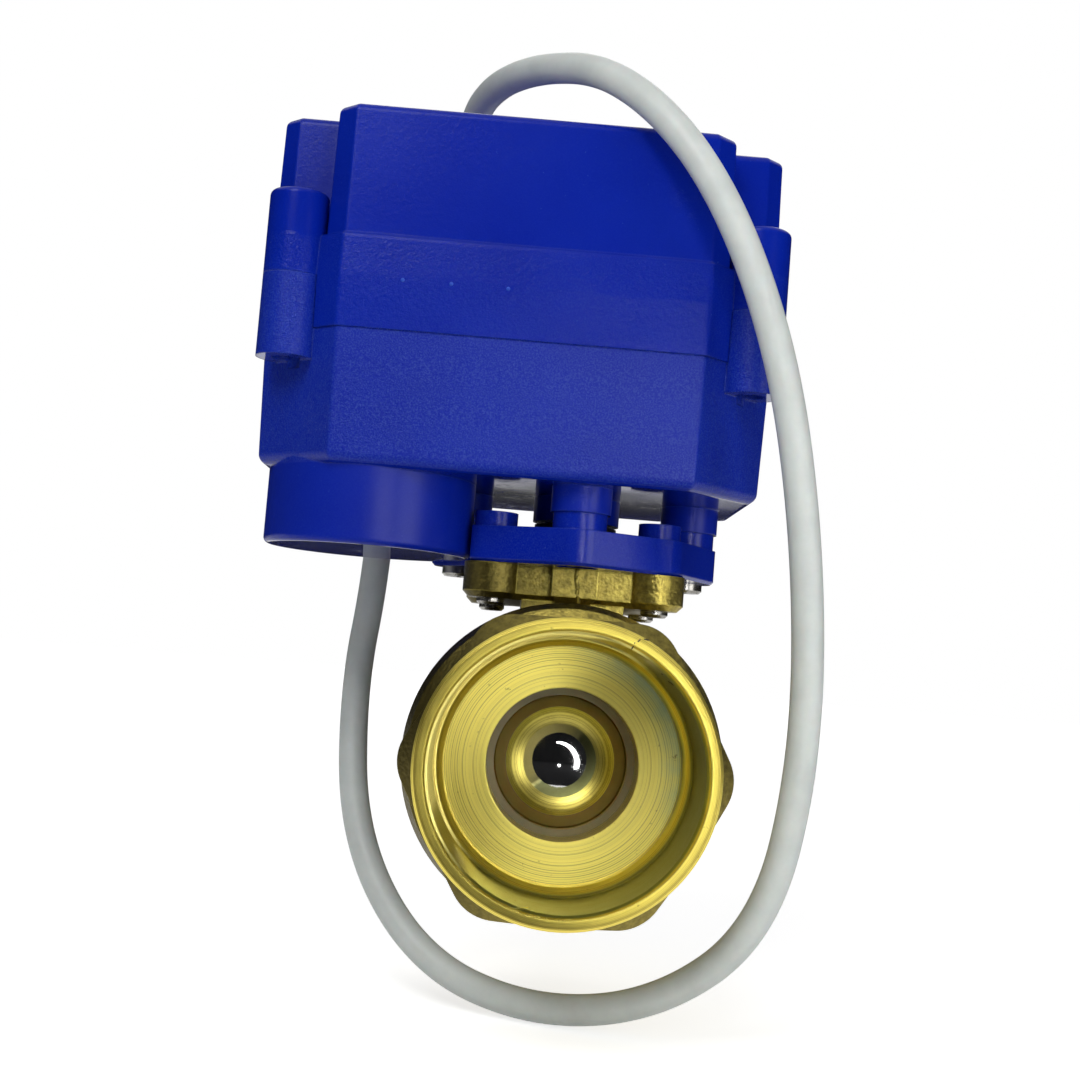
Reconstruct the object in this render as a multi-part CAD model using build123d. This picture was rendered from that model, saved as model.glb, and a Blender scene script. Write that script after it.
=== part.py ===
# Motorised two-way ball valve: a forged brass valve with a stepped plastic actuator on top.
# Millimetres. The origin is the centre of the ball, +Y runs along the bore from the inlet
# to the outlet, and +Z points up the stem to the actuator. The valve is modelled closed.

from build123d import *
import math
import os

os.makedirs("parts", exist_ok=True)

# valve body and end connector
valve_length = 78.0
ring_diameter = 37.5
ring_width = 4.0
ring_edge = 0.4
hex_flats = 37.5
hex_corner_rounding = 5.5
hex_length = 13.0
hex_chamfer = 0.6
hex_cone_slope = 0.9
barrel_radius = 21.2
barrel_rounding = 2.5
body_rear_length = 17.0
shoulder_radius = 19.6
shoulder_width = 1.6
socket_radius = 16.8
mouth_radius = 17.3
mouth_depth = 0.9
relief_radius = 15.6
relief_depth = 3.1
port_radius = 10.0
spigot_radius = 17.15
spigot_edge = 0.5
spigot_groove_setback = 1.2
thread_gap = 0.04

# ball, seats and stem
ball_radius = 15.0
ball_port_radius = 10.0
ball_gap = 0.15
chamber_gap = 1.0
seat_inner_radius = 9.0
seat_outer_radius = 13.4
seat_depth = 5.1
seat_inset = 1.0
seat_wall = 6.4
seat_gap = 0.05
seat_proud = 0.7
slot_width = 5.4
slot_depth = 3.3
tang_gap = 0.1
stem_radius = 4.5
stem_shoulder_radius = 6.6
stem_shoulder_height = 2.0
stem_shoulder_gap = 0.3
stem_lift = 0.25
stem_rise = 0.5
stem_chamfer = 0.4
stem_groove_spacing = 3.4
thrust_washer_height = 0.6
stem_square = 6.2
stem_square_height = 3.4
o_ring_section = 0.55
running_gap = 0.05

# top flange, mounting plate and pillars
flange_bottom = 21.4
flange_height = 4.8
flange_half = 13.2
flange_bolt_offset = 11.3
flange_lobe_radius = 3.9
flange_lug_width = 6.2
flange_lug_reach = 14.9
flange_chamfer = 0.8
neck_half_width = 7.0
neck_half_length = 12.6
plate_height = 4.9
plate_hole_gap = 0.8
pillar_circle_radius = 16.4
pillar_radius = 4.1
post_radius = 3.7
post_height = 2.3
left_pillar_setback = 5.0
stub_radius = 2.95
stub_margin = 0.6
stub_drop = 0.2
plate_chamfer = 0.4
housing_pillar_height = 3.6

# actuator housing
housing_offset = -10.2
front_shift = 0.35
housing_depth = 48.0
front_half_width = 24.3
side_half_width = 34.85
corner_depth = 10.5
lower_height = 24.9
skirt_drop = 7.0
belt_height = 12.7
belt_step = 0.5
cover_height = 23.3
notch_half_width = 27.0
notch_setback = 8.0
notch_edge = 2.3
lower_draft = 2.0
cover_draft = 0.8
housing_wall = 2.4
cover_wall = 2.2
skirt_wall = 1.6
rim_wall = 1.6
lap_gap = 0.1
cavity_margin = 0.9
skirt_ledge = 2.0
seal_height = 0.6
outline_rounding = 1.2
top_rounding = 1.1
bottom_rounding = 1.5
boss_radius = 4.0
boss_inset_x = 3.55
boss_inset_y = 5.0
boss_rounding = 0.8
upper_boss_height = 11.5
lower_boss_height = 11.1
pot_radius = 14.4
pot_wall = 2.2
pot_depth = 10.4
pot_rounding = 0.8
motor_gap = 0.3
output_boss_radius = 6.2
output_boss_drop = 3.6
boss_lip = 0.4
shaft_hole_gap = 0.4
inner_boss_radius = 7.0
inner_boss_height = 4.0

# motor and gear train
motor_x = -29.0
motor_y = -8.0
motor_radius = 12.2
motor_length = 17.4
motor_cap_height = 2.6
motor_boss_radius = 3.1
motor_screw_offset = 6.0
motor_screw_radius = 0.8
motor_screw_head_radius = 1.7
motor_screw_head_height = 1.1
motor_screw_reach = 2.5
motor_shaft_depth = 6.0
motor_shaft_rise = 1.2
pinion_margin = 0.2
gear_plate_thickness = 1.5
gear_plate_gap = 0.5
pinion_teeth = 12
wheel_teeth = 42
first_module = 0.5
second_module = 0.6
output_module = 0.8
pressure_angle = 25.0
backlash = 0.12
first_face_width = 3.4
second_face_width = 3.3
output_face_width = 5.0
level_gap = 0.6
second_axle_angle = 161.4
first_axle_radius = 1.0
first_hub_radius = 2.4
second_axle_radius = 1.25
second_hub_radius = 3.2
axle_head_width = 0.9
axle_head_height = 0.4
axle_end_gap = 0.3
output_rim_width = 3.2
output_web_height = 3.2
output_hub_width = 3.0
motor_shaft_radius = 0.9
output_shaft_radius = 4.0
output_shaft_upper_radius = 3.0
shaft_tail_square = 5.6
coupling_radius = 5.9
coupling_waist_radius = 5.2
coupling_gap = 0.4
tail_gap = 0.1
bush_wall = 0.9
bush_flange = 1.0
bush_flange_width = 1.4
collar_height = 1.4
collar_width = 1.4
hub_rise = 0.3
shaft_top_rise = 1.0
fit_gap = 0.03
gear_post_radius = 1.6
gear_pillar_radius = 2.6
gear_screw_radius = 1.1
gear_screw_head_radius = 2.2
gear_screw_head_height = 1.4
gear_post_inset_left = 6.45
gear_posts = ((11.2, -16.5), (11.2, 16.5), (-7.0, 18.5),
              (housing_offset - side_half_width + gear_post_inset_left, 8.8))
upper_plate_margin = 2.8
upper_plate_thickness = 1.2

# limit switches and circuit board
cam_base_radius = 6.0
cam_lobe_radius = 7.6
cam_height = 4.6
cam_lobe_angle = 40.0
switch_length = 12.8
switch_depth = 6.5
switch_height = 5.8
lever_thickness = 0.4
lever_length = 11.0
lever_height = 3.2
lever_gap = 0.35
lever_cam_gap = 0.15
knuckle_setback = 0.9
knuckle_radius = 0.65
lever_pin_radius = 0.3
ear_half_width = 0.8
ear_thickness = 0.8
ear_gap = 0.1
switch_hole_inset = 3.2
switch_hole_setback = 1.8
switch_hole_radius = 1.0
plunger_reach = 1.0
plunger_radius = 0.6
board_length = 28.0
board_width = 25.0
board_thickness = 1.6
board_centre_x = -23.0
board_lift = 4.0
spacer_radius = 1.8
spacer_pin_radius = 1.0
spacer_head_radius = 1.5
spacer_head_height = 0.5
spacer_inset = 2.7
terminal_half_length = 3.4
terminal_half_width = 3.0
terminal_inset = 3.6
terminal_height = 6.0
terminal_hole_radius = 0.8
terminal_hole_depth = 1.4
chip_size = (5.0, 4.0, 1.6)
chip_place = (3.0, -3.2)
relay_size = (7.0, 8.8, 5.6)
relay_place = (-5.5, -2.0)
diode_size = (4.0, 1.8, 1.4)
diode_place = (4.0, 3.3)
capacitor_radius = 2.6
capacitor_height = 6.0
capacitor_place = (10.0, -2.5)
lead_radius = 0.55
lead_spacing = 1.5
lead_shift = 1.0
lead_setback = 18.3

# cable: the route runs from the gland, under the valve, up in front and over the housing
cable_diameter = 4.2
gland_x = -29.5
gland_y = 16.0
gland_radius = 4.4
gland_drop = 3.6
gland_mouth_wall = 0.7
gland_neck_wall = 1.2
gland_rib_height = 1.6
gland_lip = 1.6
gland_lip_radius = 3.9
cable_route = [
    (-29.5, 16.0, 33.4),
    (-29.5, 16.0, 24.5),
    (-31.2, 13.5, 7.0),
    (-28.6, 5.5, -14.5),
    (-17.5, -3.0, -29.5),
    (-1.5, -10.0, -34.2),
    (15.0, -16.5, -30.8),
    (27.5, -22.8, -19.0),
    (30.8, -26.5, 3.5),
    (28.8, -29.2, 30.0),
    (23.2, -31.2, 56.0),
    (12.6, -33.4, 77.5),
    (0.0, -25.6, 91.8),
    (-11.5, -10.0, 97.0),
    (-19.0, 6.0, 98.0),
    (-21.5, 22.5, 95.0),
    (-23.0, 34.0, 80.5),
    (-22.0, 33.5, 62.0),
]
conductor_length = 12.0
conductor_radius = 0.6
conductor_offset = 0.95
conductor_spread = 0.12
stripped_length = 4.0

# fasteners
screw_head_height = 1.4
screw_head_radius = 2.5
screw_head_chamfer = 0.35
screw_tip_gap = 0.3
head_sink = 0.2
recess_half_length = 1.3
recess_half_width = 0.3
recess_depth = 0.7
slot_half_width = 0.3
slot_cut = 0.6
pillar_screw_radius = 1.4
pillar_hole_roof = 0.4
flange_screw_radius = 1.4
flange_screw_head_radius = 1.9
flange_screw_head_height = 0.9
flange_screw_reach = 5.6
cover_screw_radius = 1.0
cover_screw_head_radius = 1.75
cover_screw_head_gap = 0.15
cover_screw_sink = 0.6
cover_screw_reach = 9.4
counterbore_gap = 0.3

# heights that follow from the sizes above
half_length = valve_length / 2
flange_top = flange_bottom + flange_height
plate_bottom = flange_top
plate_top = plate_bottom + plate_height
post_top = plate_top + post_height
housing_bottom = post_top + housing_pillar_height
parting = housing_bottom + lower_height
skirt_bottom = parting - skirt_drop
belt_top = skirt_bottom + belt_height
cover_top = parting + cover_height
floor_top = housing_bottom + housing_wall
pot_bottom = housing_bottom - pot_depth
motor_bottom = pot_bottom + pot_wall
gear_plate_bottom = motor_bottom + motor_cap_height + motor_length
gear_plate_top = gear_plate_bottom + gear_plate_thickness
first_wheel_bottom = gear_plate_top + level_gap
first_wheel_top = first_wheel_bottom + first_face_width
second_wheel_bottom = first_wheel_top + level_gap
second_wheel_top = second_wheel_bottom + second_face_width
output_gear_bottom = second_wheel_top + 2 * level_gap
output_gear_top = output_gear_bottom + output_face_width
upper_plate_bottom = output_gear_top + level_gap
upper_plate_top = upper_plate_bottom + upper_plate_thickness
cam_bottom = upper_plate_top + level_gap
board_bottom = upper_plate_top + board_lift
board_top = board_bottom + board_thickness
chamber_radius = ball_radius + chamber_gap
seat_back = ball_radius - seat_inset
bore_shoulder = seat_back + seat_wall
spigot_end = seat_back - seat_depth + seat_proud
socket_end = bore_shoulder + relief_depth
seat_pocket_radius = seat_outer_radius + seat_gap
stem_shoulder_bottom = ball_radius + stem_lift
stem_shoulder_top = stem_shoulder_bottom + stem_shoulder_height
washer_top = stem_shoulder_top + thrust_washer_height + running_gap
stem_round_top = flange_top + stem_rise
stem_top = stem_round_top + stem_square_height
bush_bottom = housing_bottom - output_boss_drop + boss_lip
coupling_top = housing_bottom - output_boss_drop - coupling_gap
shaft_tail_bottom = stem_top + tail_gap


def upright(x, y, bottom, top, radius):
    """Cylinder standing between two heights."""
    return Pos(x, y, (bottom + top) / 2) * Cylinder(radius, top - bottom)


def turned_on_bore(profile):
    """Solid turned about the bore from (radius, distance along Y) points."""
    return revolve(make_face(Polyline(*profile, close=True)), Axis.Y)


def turned_on_stem(profile):
    """Solid turned about the stem from (radius, height) points."""
    return revolve(Plane.XZ * make_face(Polyline(*profile, close=True)), Axis.Z)


def prism(outline, bottom, top):
    """Straight solid of a flat outline between two heights."""
    return extrude(Pos(0, 0, bottom) * outline, amount=top - bottom)


def bar(x0, x1, y0, y1, z0, z1):
    """Block between three pairs of limits."""
    centre = Pos((x0 + x1) / 2, (y0 + y1) / 2, (z0 + z1) / 2)
    return centre * Box(x1 - x0, y1 - y0, z1 - z0)


def screw(x, y, head_bottom, tip, head_radius, shank_radius, head_height=screw_head_height):
    """Pan-headed screw driven upwards, with a cross recess in its head."""
    head_top = head_bottom + head_height
    body = upright(x, y, head_bottom, head_top, head_radius)
    body = chamfer(body.edges().group_by(Axis.Z)[0], screw_head_chamfer)
    long, wide, recess_top = recess_half_length, recess_half_width, head_bottom + recess_depth
    recess = bar(x - long, x + long, y - wide, y + wide, head_bottom, recess_top)
    recess += bar(x - wide, x + wide, y - long, y + long, head_bottom, recess_top)
    return body + upright(x, y, head_top, tip, shank_radius) - recess


def slotted_screw(x, y, seat, tip, head_radius, head_height, shank_radius):
    """Slotted screw driven downwards, with its head on a seat."""
    head = upright(x, y, seat, seat + head_height, head_radius)
    slot = bar(x - 2 * head_radius, x + 2 * head_radius, y - slot_half_width, y + slot_half_width,
               seat + head_height - slot_cut, seat + 2 * head_height)
    return head - slot + upright(x, y, tip, seat, shank_radius)


def group(pieces):
    """Several separate solids in one node."""
    return Compound(children=[solid for piece in pieces for solid in piece.solids()])


# valve

def hex_bar(start, end):
    """Hexagonal bar with rounded corners, coned off from the collar's edge at its front end."""
    outline = RegularPolygon(hex_flats / 2, 6, major_radius=False)
    outline = fillet(outline.vertices(), hex_corner_rounding)
    block = extrude(Plane((0, start, 0), x_dir=(1, 0, 0), z_dir=(0, 1, 0)) * outline, amount=end - start)
    block = chamfer(block.edges().group_by(Axis.Y)[-1], hex_chamfer)
    edge = ring_diameter / 2
    reach = edge + (end - start) / hex_cone_slope
    return block & turned_on_bore([(0, start), (edge, start), (reach, end), (0, end)])


def bore_profile():
    """Inside of one end, from the mouth at the ring face in to the seat."""
    y = -half_length
    seat_face = -seat_back + seat_depth + 0.1
    return [
        (0, y - 1),
        (mouth_radius, y - 1),
        (mouth_radius, y),
        (socket_radius, y + mouth_depth),
        (socket_radius, -socket_end),
        (relief_radius, -socket_end + (socket_radius - relief_radius)),
        (relief_radius, -bore_shoulder),
        (port_radius, -bore_shoulder),
        (port_radius, -seat_back),
        (seat_pocket_radius, -seat_back),
        (seat_pocket_radius, seat_face),
        (0, seat_face),
    ]


def ring_end():
    """Plain turned collar at the mouth, proud of the hexagon's corners only by its length."""
    y = -half_length
    radius = ring_diameter / 2
    return turned_on_bore([
        (0, y),
        (radius - ring_edge, y),
        (radius, y + ring_edge),
        (radius, y + ring_width + 1),
        (0, y + ring_width + 1),
    ])


def top_flange():
    """Forged flange with a lobe for each corner screw and a lug at the front and the back."""
    flange = bar(-flange_half, flange_half, -flange_half, flange_half, flange_bottom, flange_top)
    for sx in (-1, 1):
        for sy in (-1, 1):
            x, y = sx * flange_bolt_offset, sy * flange_bolt_offset
            flange += upright(x, y, flange_bottom, flange_top, flange_lobe_radius)
    lug = flange_lug_width / 2
    flange += bar(-lug, lug, -flange_lug_reach, flange_lug_reach, flange_bottom, flange_top)
    flange = chamfer(flange.edges().group_by(Axis.Z)[0], flange_chamfer)
    neck_bottom = chamber_radius - 1
    flange += bar(-neck_half_width, neck_half_width, -neck_half_length, neck_half_length,
                  neck_bottom, flange_bottom + 0.1)
    return flange


def valve_body():
    hex_start = -half_length + ring_width
    barrel_start = hex_start + hex_length
    barrel = turned_on_bore([
        (0, barrel_start - 1),
        (barrel_radius - barrel_rounding, barrel_start - 1),
        (barrel_radius - barrel_rounding, barrel_start),
        (barrel_radius - barrel_rounding * 0.3, barrel_start + barrel_rounding * 0.4),
        (barrel_radius, barrel_start + barrel_rounding),
        (barrel_radius, body_rear_length - barrel_rounding),
        (barrel_radius - barrel_rounding * 0.3, body_rear_length - barrel_rounding * 0.4),
        (barrel_radius - barrel_rounding * 0.6, body_rear_length),
        (0, body_rear_length),
    ])
    body = ring_end() + hex_bar(hex_start, barrel_start) + barrel + top_flange()
    body -= turned_on_bore(bore_profile())
    chamber_start = -seat_back + seat_depth
    thread_start = spigot_end - 1
    thread_radius = spigot_radius + thread_gap
    body -= turned_on_bore([
        (0, chamber_start),
        (seat_pocket_radius, chamber_start),
        (chamber_radius, chamber_start + chamber_radius - seat_pocket_radius),
        (chamber_radius, thread_start),
        (thread_radius, thread_start),
        (thread_radius, body_rear_length + 1),
        (0, body_rear_length + 1),
    ])
    body -= upright(0, 0, 0, washer_top, stem_shoulder_radius + stem_shoulder_gap)
    body -= upright(0, 0, 0, flange_top + 1, stem_radius + running_gap)
    for sx in (-1, 1):
        for sy in (-1, 1):
            body -= upright(sx * flange_bolt_offset, sy * flange_bolt_offset,
                            flange_bottom - 1, flange_top + 1, flange_screw_radius + running_gap)
    return body


def end_connector():
    """Rear end: collar, hexagon and a spigot that screws into the body and holds the rear seat."""
    hex_end = half_length - ring_width
    body = mirror(ring_end(), about=Plane.XZ)
    shoulder_end = body_rear_length + shoulder_width
    body += mirror(hex_bar(-hex_end, -shoulder_end), about=Plane.XZ)
    groove_radius = spigot_radius - 2 * o_ring_section
    groove_start = body_rear_length - spigot_groove_setback - 3 * o_ring_section
    body += turned_on_bore([
        (0, spigot_end),
        (spigot_radius - spigot_edge, spigot_end),
        (spigot_radius, spigot_end + spigot_edge),
        (spigot_radius, groove_start),
        (groove_radius, groove_start),
        (groove_radius, groove_start + 3 * o_ring_section),
        (spigot_radius, groove_start + 3 * o_ring_section),
        (spigot_radius, body_rear_length),
        (shoulder_radius - spigot_edge, body_rear_length),
        (shoulder_radius, body_rear_length + spigot_edge),
        (shoulder_radius, shoulder_end + 0.2),
        (0, shoulder_end + 0.2),
    ])
    body -= mirror(turned_on_bore(bore_profile()), about=Plane.XZ)
    return body - Sphere(ball_radius + chamber_gap)


def seat_ring():
    """Seat in front of the ball, with a hollow face that follows the ball."""
    ring = turned_on_bore([
        (seat_inner_radius, -seat_back),
        (seat_outer_radius, -seat_back),
        (seat_outer_radius, -seat_back + seat_depth),
        (seat_inner_radius, -seat_back + seat_depth),
    ])
    return ring - Sphere(ball_radius + ball_gap)


def o_ring_on_spigot():
    centre = body_rear_length - spigot_groove_setback - 1.5 * o_ring_section
    return Pos(0, centre, 0) * Rot(90, 0, 0) * Torus(spigot_radius - o_ring_section, o_ring_section)


def ball():
    """Ball with its port across the bore, as when closed, and the slot for the stem on top."""
    body = Sphere(ball_radius) - Rot(0, 90, 0) * Cylinder(ball_port_radius, 3 * ball_radius)
    slot = bar(-slot_width / 2, slot_width / 2, -ball_radius, ball_radius,
               ball_radius - slot_depth, ball_radius + 1)
    return body - slot


def stem():
    """Blow-out-proof stem: tang in the ball, shoulder, two ring grooves and a square on top."""
    groove = stem_radius - 2 * o_ring_section - 0.02
    low, high = stem_groove_heights()
    half = 1.5 * o_ring_section
    body = turned_on_stem([
        (0, stem_shoulder_bottom),
        (stem_shoulder_radius - stem_chamfer, stem_shoulder_bottom),
        (stem_shoulder_radius, stem_shoulder_bottom + stem_chamfer),
        (stem_shoulder_radius, stem_shoulder_top),
        (stem_radius, stem_shoulder_top),
        (stem_radius, low - half),
        (groove, low - half),
        (groove, low + half),
        (stem_radius, low + half),
        (stem_radius, high - half),
        (groove, high - half),
        (groove, high + half),
        (stem_radius, high + half),
        (stem_radius, stem_round_top),
        (0, stem_round_top),
    ])
    tang = bar(-slot_width / 2 + tang_gap, slot_width / 2 - tang_gap, -stem_shoulder_radius,
               stem_shoulder_radius, ball_radius - slot_depth + tang_gap, stem_shoulder_bottom + 0.5)
    tang &= upright(0, 0, 0, stem_top, stem_shoulder_radius - stem_chamfer)
    half_square = stem_square / 2
    square = bar(-half_square, half_square, -half_square, half_square, stem_round_top - 0.5, stem_top)
    return body + tang + chamfer(square.edges().group_by(Axis.Z)[-1], stem_chamfer)


def stem_groove_heights():
    middle = (washer_top + flange_top) / 2
    return middle - stem_groove_spacing / 2, middle + stem_groove_spacing / 2


def stem_o_rings():
    rings = [Pos(0, 0, z) * Torus(stem_radius - o_ring_section, o_ring_section)
             for z in stem_groove_heights()]
    return group(rings)


def thrust_washer():
    bottom = washer_top - thrust_washer_height
    ring = upright(0, 0, bottom, washer_top, stem_shoulder_radius)
    return ring - upright(0, 0, bottom - 1, washer_top + 1, stem_radius + running_gap)


def drive_coupling():
    """Waisted sleeve whose two square sockets join the stem to the actuator's shaft."""
    waist_low = stem_round_top + (coupling_top - stem_round_top) * 0.3
    waist_high = stem_round_top + (coupling_top - stem_round_top) * 0.7
    slope = coupling_radius - coupling_waist_radius
    body = turned_on_stem([
        (0, stem_round_top),
        (coupling_radius, stem_round_top),
        (coupling_radius, waist_low - slope),
        (coupling_waist_radius, waist_low),
        (coupling_waist_radius, waist_high),
        (coupling_radius, waist_high + slope),
        (coupling_radius, coupling_top),
        (0, coupling_top),
    ])
    low = stem_square / 2 + running_gap
    high = shaft_tail_square / 2 + running_gap
    body -= bar(-low, low, -low, low, stem_round_top - 1, stem_top + running_gap)
    return body - bar(-high, high, -high, high, stem_top, coupling_top + 1)


# mounting plate

def pillar_places():
    """Right, rear, left and front pillars; the left one stands back to clear the motor pot."""
    r = pillar_circle_radius
    return [(r, 0), (0, r), (-r, left_pillar_setback), (0, -r)]


def flange_bolt_places():
    return [(sx * flange_bolt_offset, sy * flange_bolt_offset) for sx in (-1, 1) for sy in (-1, 1)]


def mounting_plate():
    edges = []
    for x, y in pillar_places():
        edges += (Pos(x, y) * Circle(pillar_radius)).edges()
    for x, y in flange_bolt_places():
        edges += (Pos(x, y) * Circle(stub_radius + stub_margin)).edges()
    plate = prism(make_hull(edges), plate_bottom, plate_top)
    plate = chamfer(plate.edges().group_by(Axis.Z)[0], plate_chamfer)
    for x, y in pillar_places():
        plate += upright(x, y, plate_top, post_top, post_radius)
        plate -= upright(x, y, plate_bottom - 1, post_top + 1, pillar_screw_radius + running_gap)
    for x, y in flange_bolt_places():
        plate += upright(x, y, plate_top, post_top - stub_drop, stub_radius)
        plate -= upright(x, y, plate_bottom - 1, flange_top + flange_screw_reach, flange_screw_radius)
    for x, y in pillar_places():
        if abs(x) < flange_half:
            plate -= upright(x, y, plate_bottom - 1, plate_bottom + screw_head_height + head_sink,
                             screw_head_radius + counterbore_gap)
    plate -= upright(0, 0, plate_bottom - 1, plate_top + 1, coupling_radius + plate_hole_gap)
    pot = upright(motor_x, motor_y, plate_bottom - 1, post_top + 1, pot_radius + plate_hole_gap)
    return plate - pot


def flange_screws():
    bottom = flange_bottom - flange_screw_head_height
    tip = flange_top + flange_screw_reach - screw_tip_gap
    return group([screw(x, y, bottom, tip, flange_screw_head_radius, flange_screw_radius,
                        flange_screw_head_height) for x, y in flange_bolt_places()])


def pillar_screws():
    screws = []
    for x, y in pillar_places():
        sunk = abs(x) < flange_half
        bottom = plate_bottom + head_sink if sunk else plate_bottom - screw_head_height
        screws.append(screw(x, y, bottom, floor_top - pillar_hole_roof - screw_tip_gap, screw_head_radius,
                            pillar_screw_radius))
    return group(screws)


# housing

def lower_outline():
    """Plan of the lower housing: broad faces joined by flat corners."""
    half_depth = housing_depth / 2
    corner_y = half_depth - corner_depth
    right, left = front_shift + front_half_width, front_shift - front_half_width
    points = [
        (right, -half_depth), (side_half_width, -corner_y),
        (side_half_width, corner_y), (right, half_depth),
        (left, half_depth), (-side_half_width, corner_y),
        (-side_half_width, -corner_y), (left, -half_depth),
    ]
    return Pos(housing_offset, 0) * make_face(Polyline(*points, close=True))


def cover_outline():
    """Plan of the cover: each corner is stepped back to make room for a screw boss."""
    half_depth = housing_depth / 2
    step_y = half_depth - notch_setback
    turn = notch_half_width - front_half_width

    def corner(side):
        notch_x = front_shift + side * notch_half_width
        return [
            (front_shift + side * front_half_width, half_depth), (notch_x, half_depth - turn),
            (notch_x, step_y), (side * (side_half_width - notch_edge), step_y),
            (side * side_half_width, step_y - notch_edge),
        ]

    right = [(x, -y) for x, y in corner(1)] + corner(1)[::-1]
    left = corner(-1) + [(x, -y) for x, y in corner(-1)[::-1]]
    return Pos(housing_offset, 0) * make_face(Polyline(*right, *left, close=True))


def inset(outline, amount):
    return offset(outline, amount=-amount, kind=Kind.INTERSECTION)


def tapered(outline, start, height, draft):
    """Drafted solid that narrows away from the start height."""
    end = inset(outline, abs(height) * math.tan(math.radians(draft)))
    return loft([Pos(0, 0, start) * outline, Pos(0, 0, start + height) * end])


def boss_places():
    from_centre = side_half_width - boss_inset_x
    from_middle = housing_depth / 2 - boss_inset_y
    return [(housing_offset + front_shift + sx * from_centre, sy * from_middle)
            for sx in (-1, 1) for sy in (-1, 1)]


def lower_housing():
    outline = fillet(lower_outline().vertices(), outline_rounding)
    shell = tapered(outline, skirt_bottom, housing_bottom - skirt_bottom, lower_draft)
    shell = fillet(shell.edges().group_by(Axis.Z)[0], bottom_rounding)
    shell += upright(motor_x, motor_y, pot_bottom, floor_top, pot_radius)
    shell = fillet(shell.edges().group_by(Axis.Z)[0], pot_rounding)
    for x, y in boss_places():
        shell += upright(x, y, parting - lower_boss_height, parting, boss_radius)
    rim_outline = inset(lower_outline(), skirt_wall + lap_gap)
    shell += prism(rim_outline, skirt_bottom - 1, parting - seal_height)
    for x, y in pillar_places():
        shell += upright(x, y, post_top, housing_bottom + 1, pillar_radius)
    shell += upright(0, 0, housing_bottom - output_boss_drop, housing_bottom + 1, output_boss_radius)

    cavity = tapered(inset(lower_outline(), housing_wall + cavity_margin), skirt_bottom + 1,
                     -(skirt_bottom + 1 - floor_top), lower_draft)
    cavity += prism(inset(lower_outline(), skirt_wall + lap_gap + rim_wall), skirt_bottom,
                    parting + 1)
    shell -= cavity + prism(rim_outline, parting - seal_height, parting + 1)
    shell -= upright(motor_x, motor_y, motor_bottom, floor_top + 1, motor_radius + motor_gap)
    shell += upright(0, 0, floor_top - 1, floor_top + inner_boss_height, inner_boss_radius)
    for x, y in gear_posts:
        shell += upright(x, y, floor_top - 1, gear_plate_bottom, gear_pillar_radius)
    shell -= upright(motor_x, motor_y, motor_bottom, gear_plate_bottom + 1, motor_radius + motor_gap)

    bush_radius = output_shaft_radius + running_gap + bush_wall
    shell -= upright(0, 0, bush_bottom, floor_top + inner_boss_height + 1, bush_radius)
    shell -= upright(0, 0, housing_bottom - output_boss_drop - 1, housing_bottom,
                     output_shaft_radius + shaft_hole_gap)
    for x, y in pillar_places():
        shell -= upright(x, y, post_top - 1, floor_top - pillar_hole_roof, pillar_screw_radius)
    for x, y in gear_posts:
        shell -= upright(x, y, floor_top + 2, gear_plate_bottom + 1, gear_screw_radius)
    for x, y in boss_places():
        bottom = parting - lower_boss_height
        shell -= upright(x, y, bottom - 1, parting, cover_screw_radius + running_gap)
        shell -= upright(x, y, bottom - 1, bottom + screw_head_height + cover_screw_sink,
                         cover_screw_head_radius + cover_screw_head_gap)
    shell -= upright(gland_x, gland_y, housing_bottom - 1, floor_top + 1, gland_neck_radius())
    return shell


def gland_neck_radius():
    return cable_diameter / 2 + gland_neck_wall


def top_cover():
    outline = fillet(cover_outline().vertices(), outline_rounding * 0.6)
    body = tapered(outline, belt_top - 1, cover_top - belt_top + 1, cover_draft)
    body = fillet(body.edges().group_by(Axis.Z)[-1], top_rounding)
    belt = offset(lower_outline(), amount=belt_step, kind=Kind.INTERSECTION)
    belt = fillet(belt.vertices(), outline_rounding)
    skirt = tapered(belt, parting, belt_top - parting, lower_draft)
    skirt += tapered(belt, parting, skirt_bottom - parting, lower_draft)
    skirt = chamfer(skirt.edges().group_by(Axis.Z)[-1], belt_step * 0.8)
    body += skirt
    for x, y in boss_places():
        boss = upright(x, y, parting, parting + upper_boss_height, boss_radius)
        body += fillet(boss.edges().group_by(Axis.Z)[-1], boss_rounding)

    body -= prism(inset(lower_outline(), skirt_wall), skirt_bottom - 1, parting)
    ceiling = cover_top - cover_wall
    cavity = tapered(inset(cover_outline(), cover_wall), parting, ceiling - parting, cover_draft)
    ledge = inset(lower_outline(), skirt_wall + lap_gap + rim_wall)
    cavity = cavity - prism(lower_outline(), parting - 1, parting + skirt_ledge) + prism(
        ledge & inset(cover_outline(), cover_wall), parting - 1, parting + skirt_ledge + lap_gap)
    body -= cavity
    for x, y in boss_places():
        body -= upright(x, y, skirt_bottom - 1, parting, boss_radius + lap_gap)
        body -= upright(x, y, parting - 1, parting + cover_screw_reach, cover_screw_radius)
    return body


def cover_seal():
    outer = inset(lower_outline(), skirt_wall + lap_gap)
    inner = inset(lower_outline(), skirt_wall + lap_gap + rim_wall)
    return prism(outer, parting - seal_height, parting) - prism(inner, parting - 1, parting + 1)


def cover_screws():
    bottom = parting - lower_boss_height + cover_screw_sink
    tip = parting + cover_screw_reach - screw_tip_gap
    return group([screw(x, y, bottom, tip, cover_screw_head_radius, cover_screw_radius)
                  for x, y in boss_places()])


# motor and gears

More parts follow.
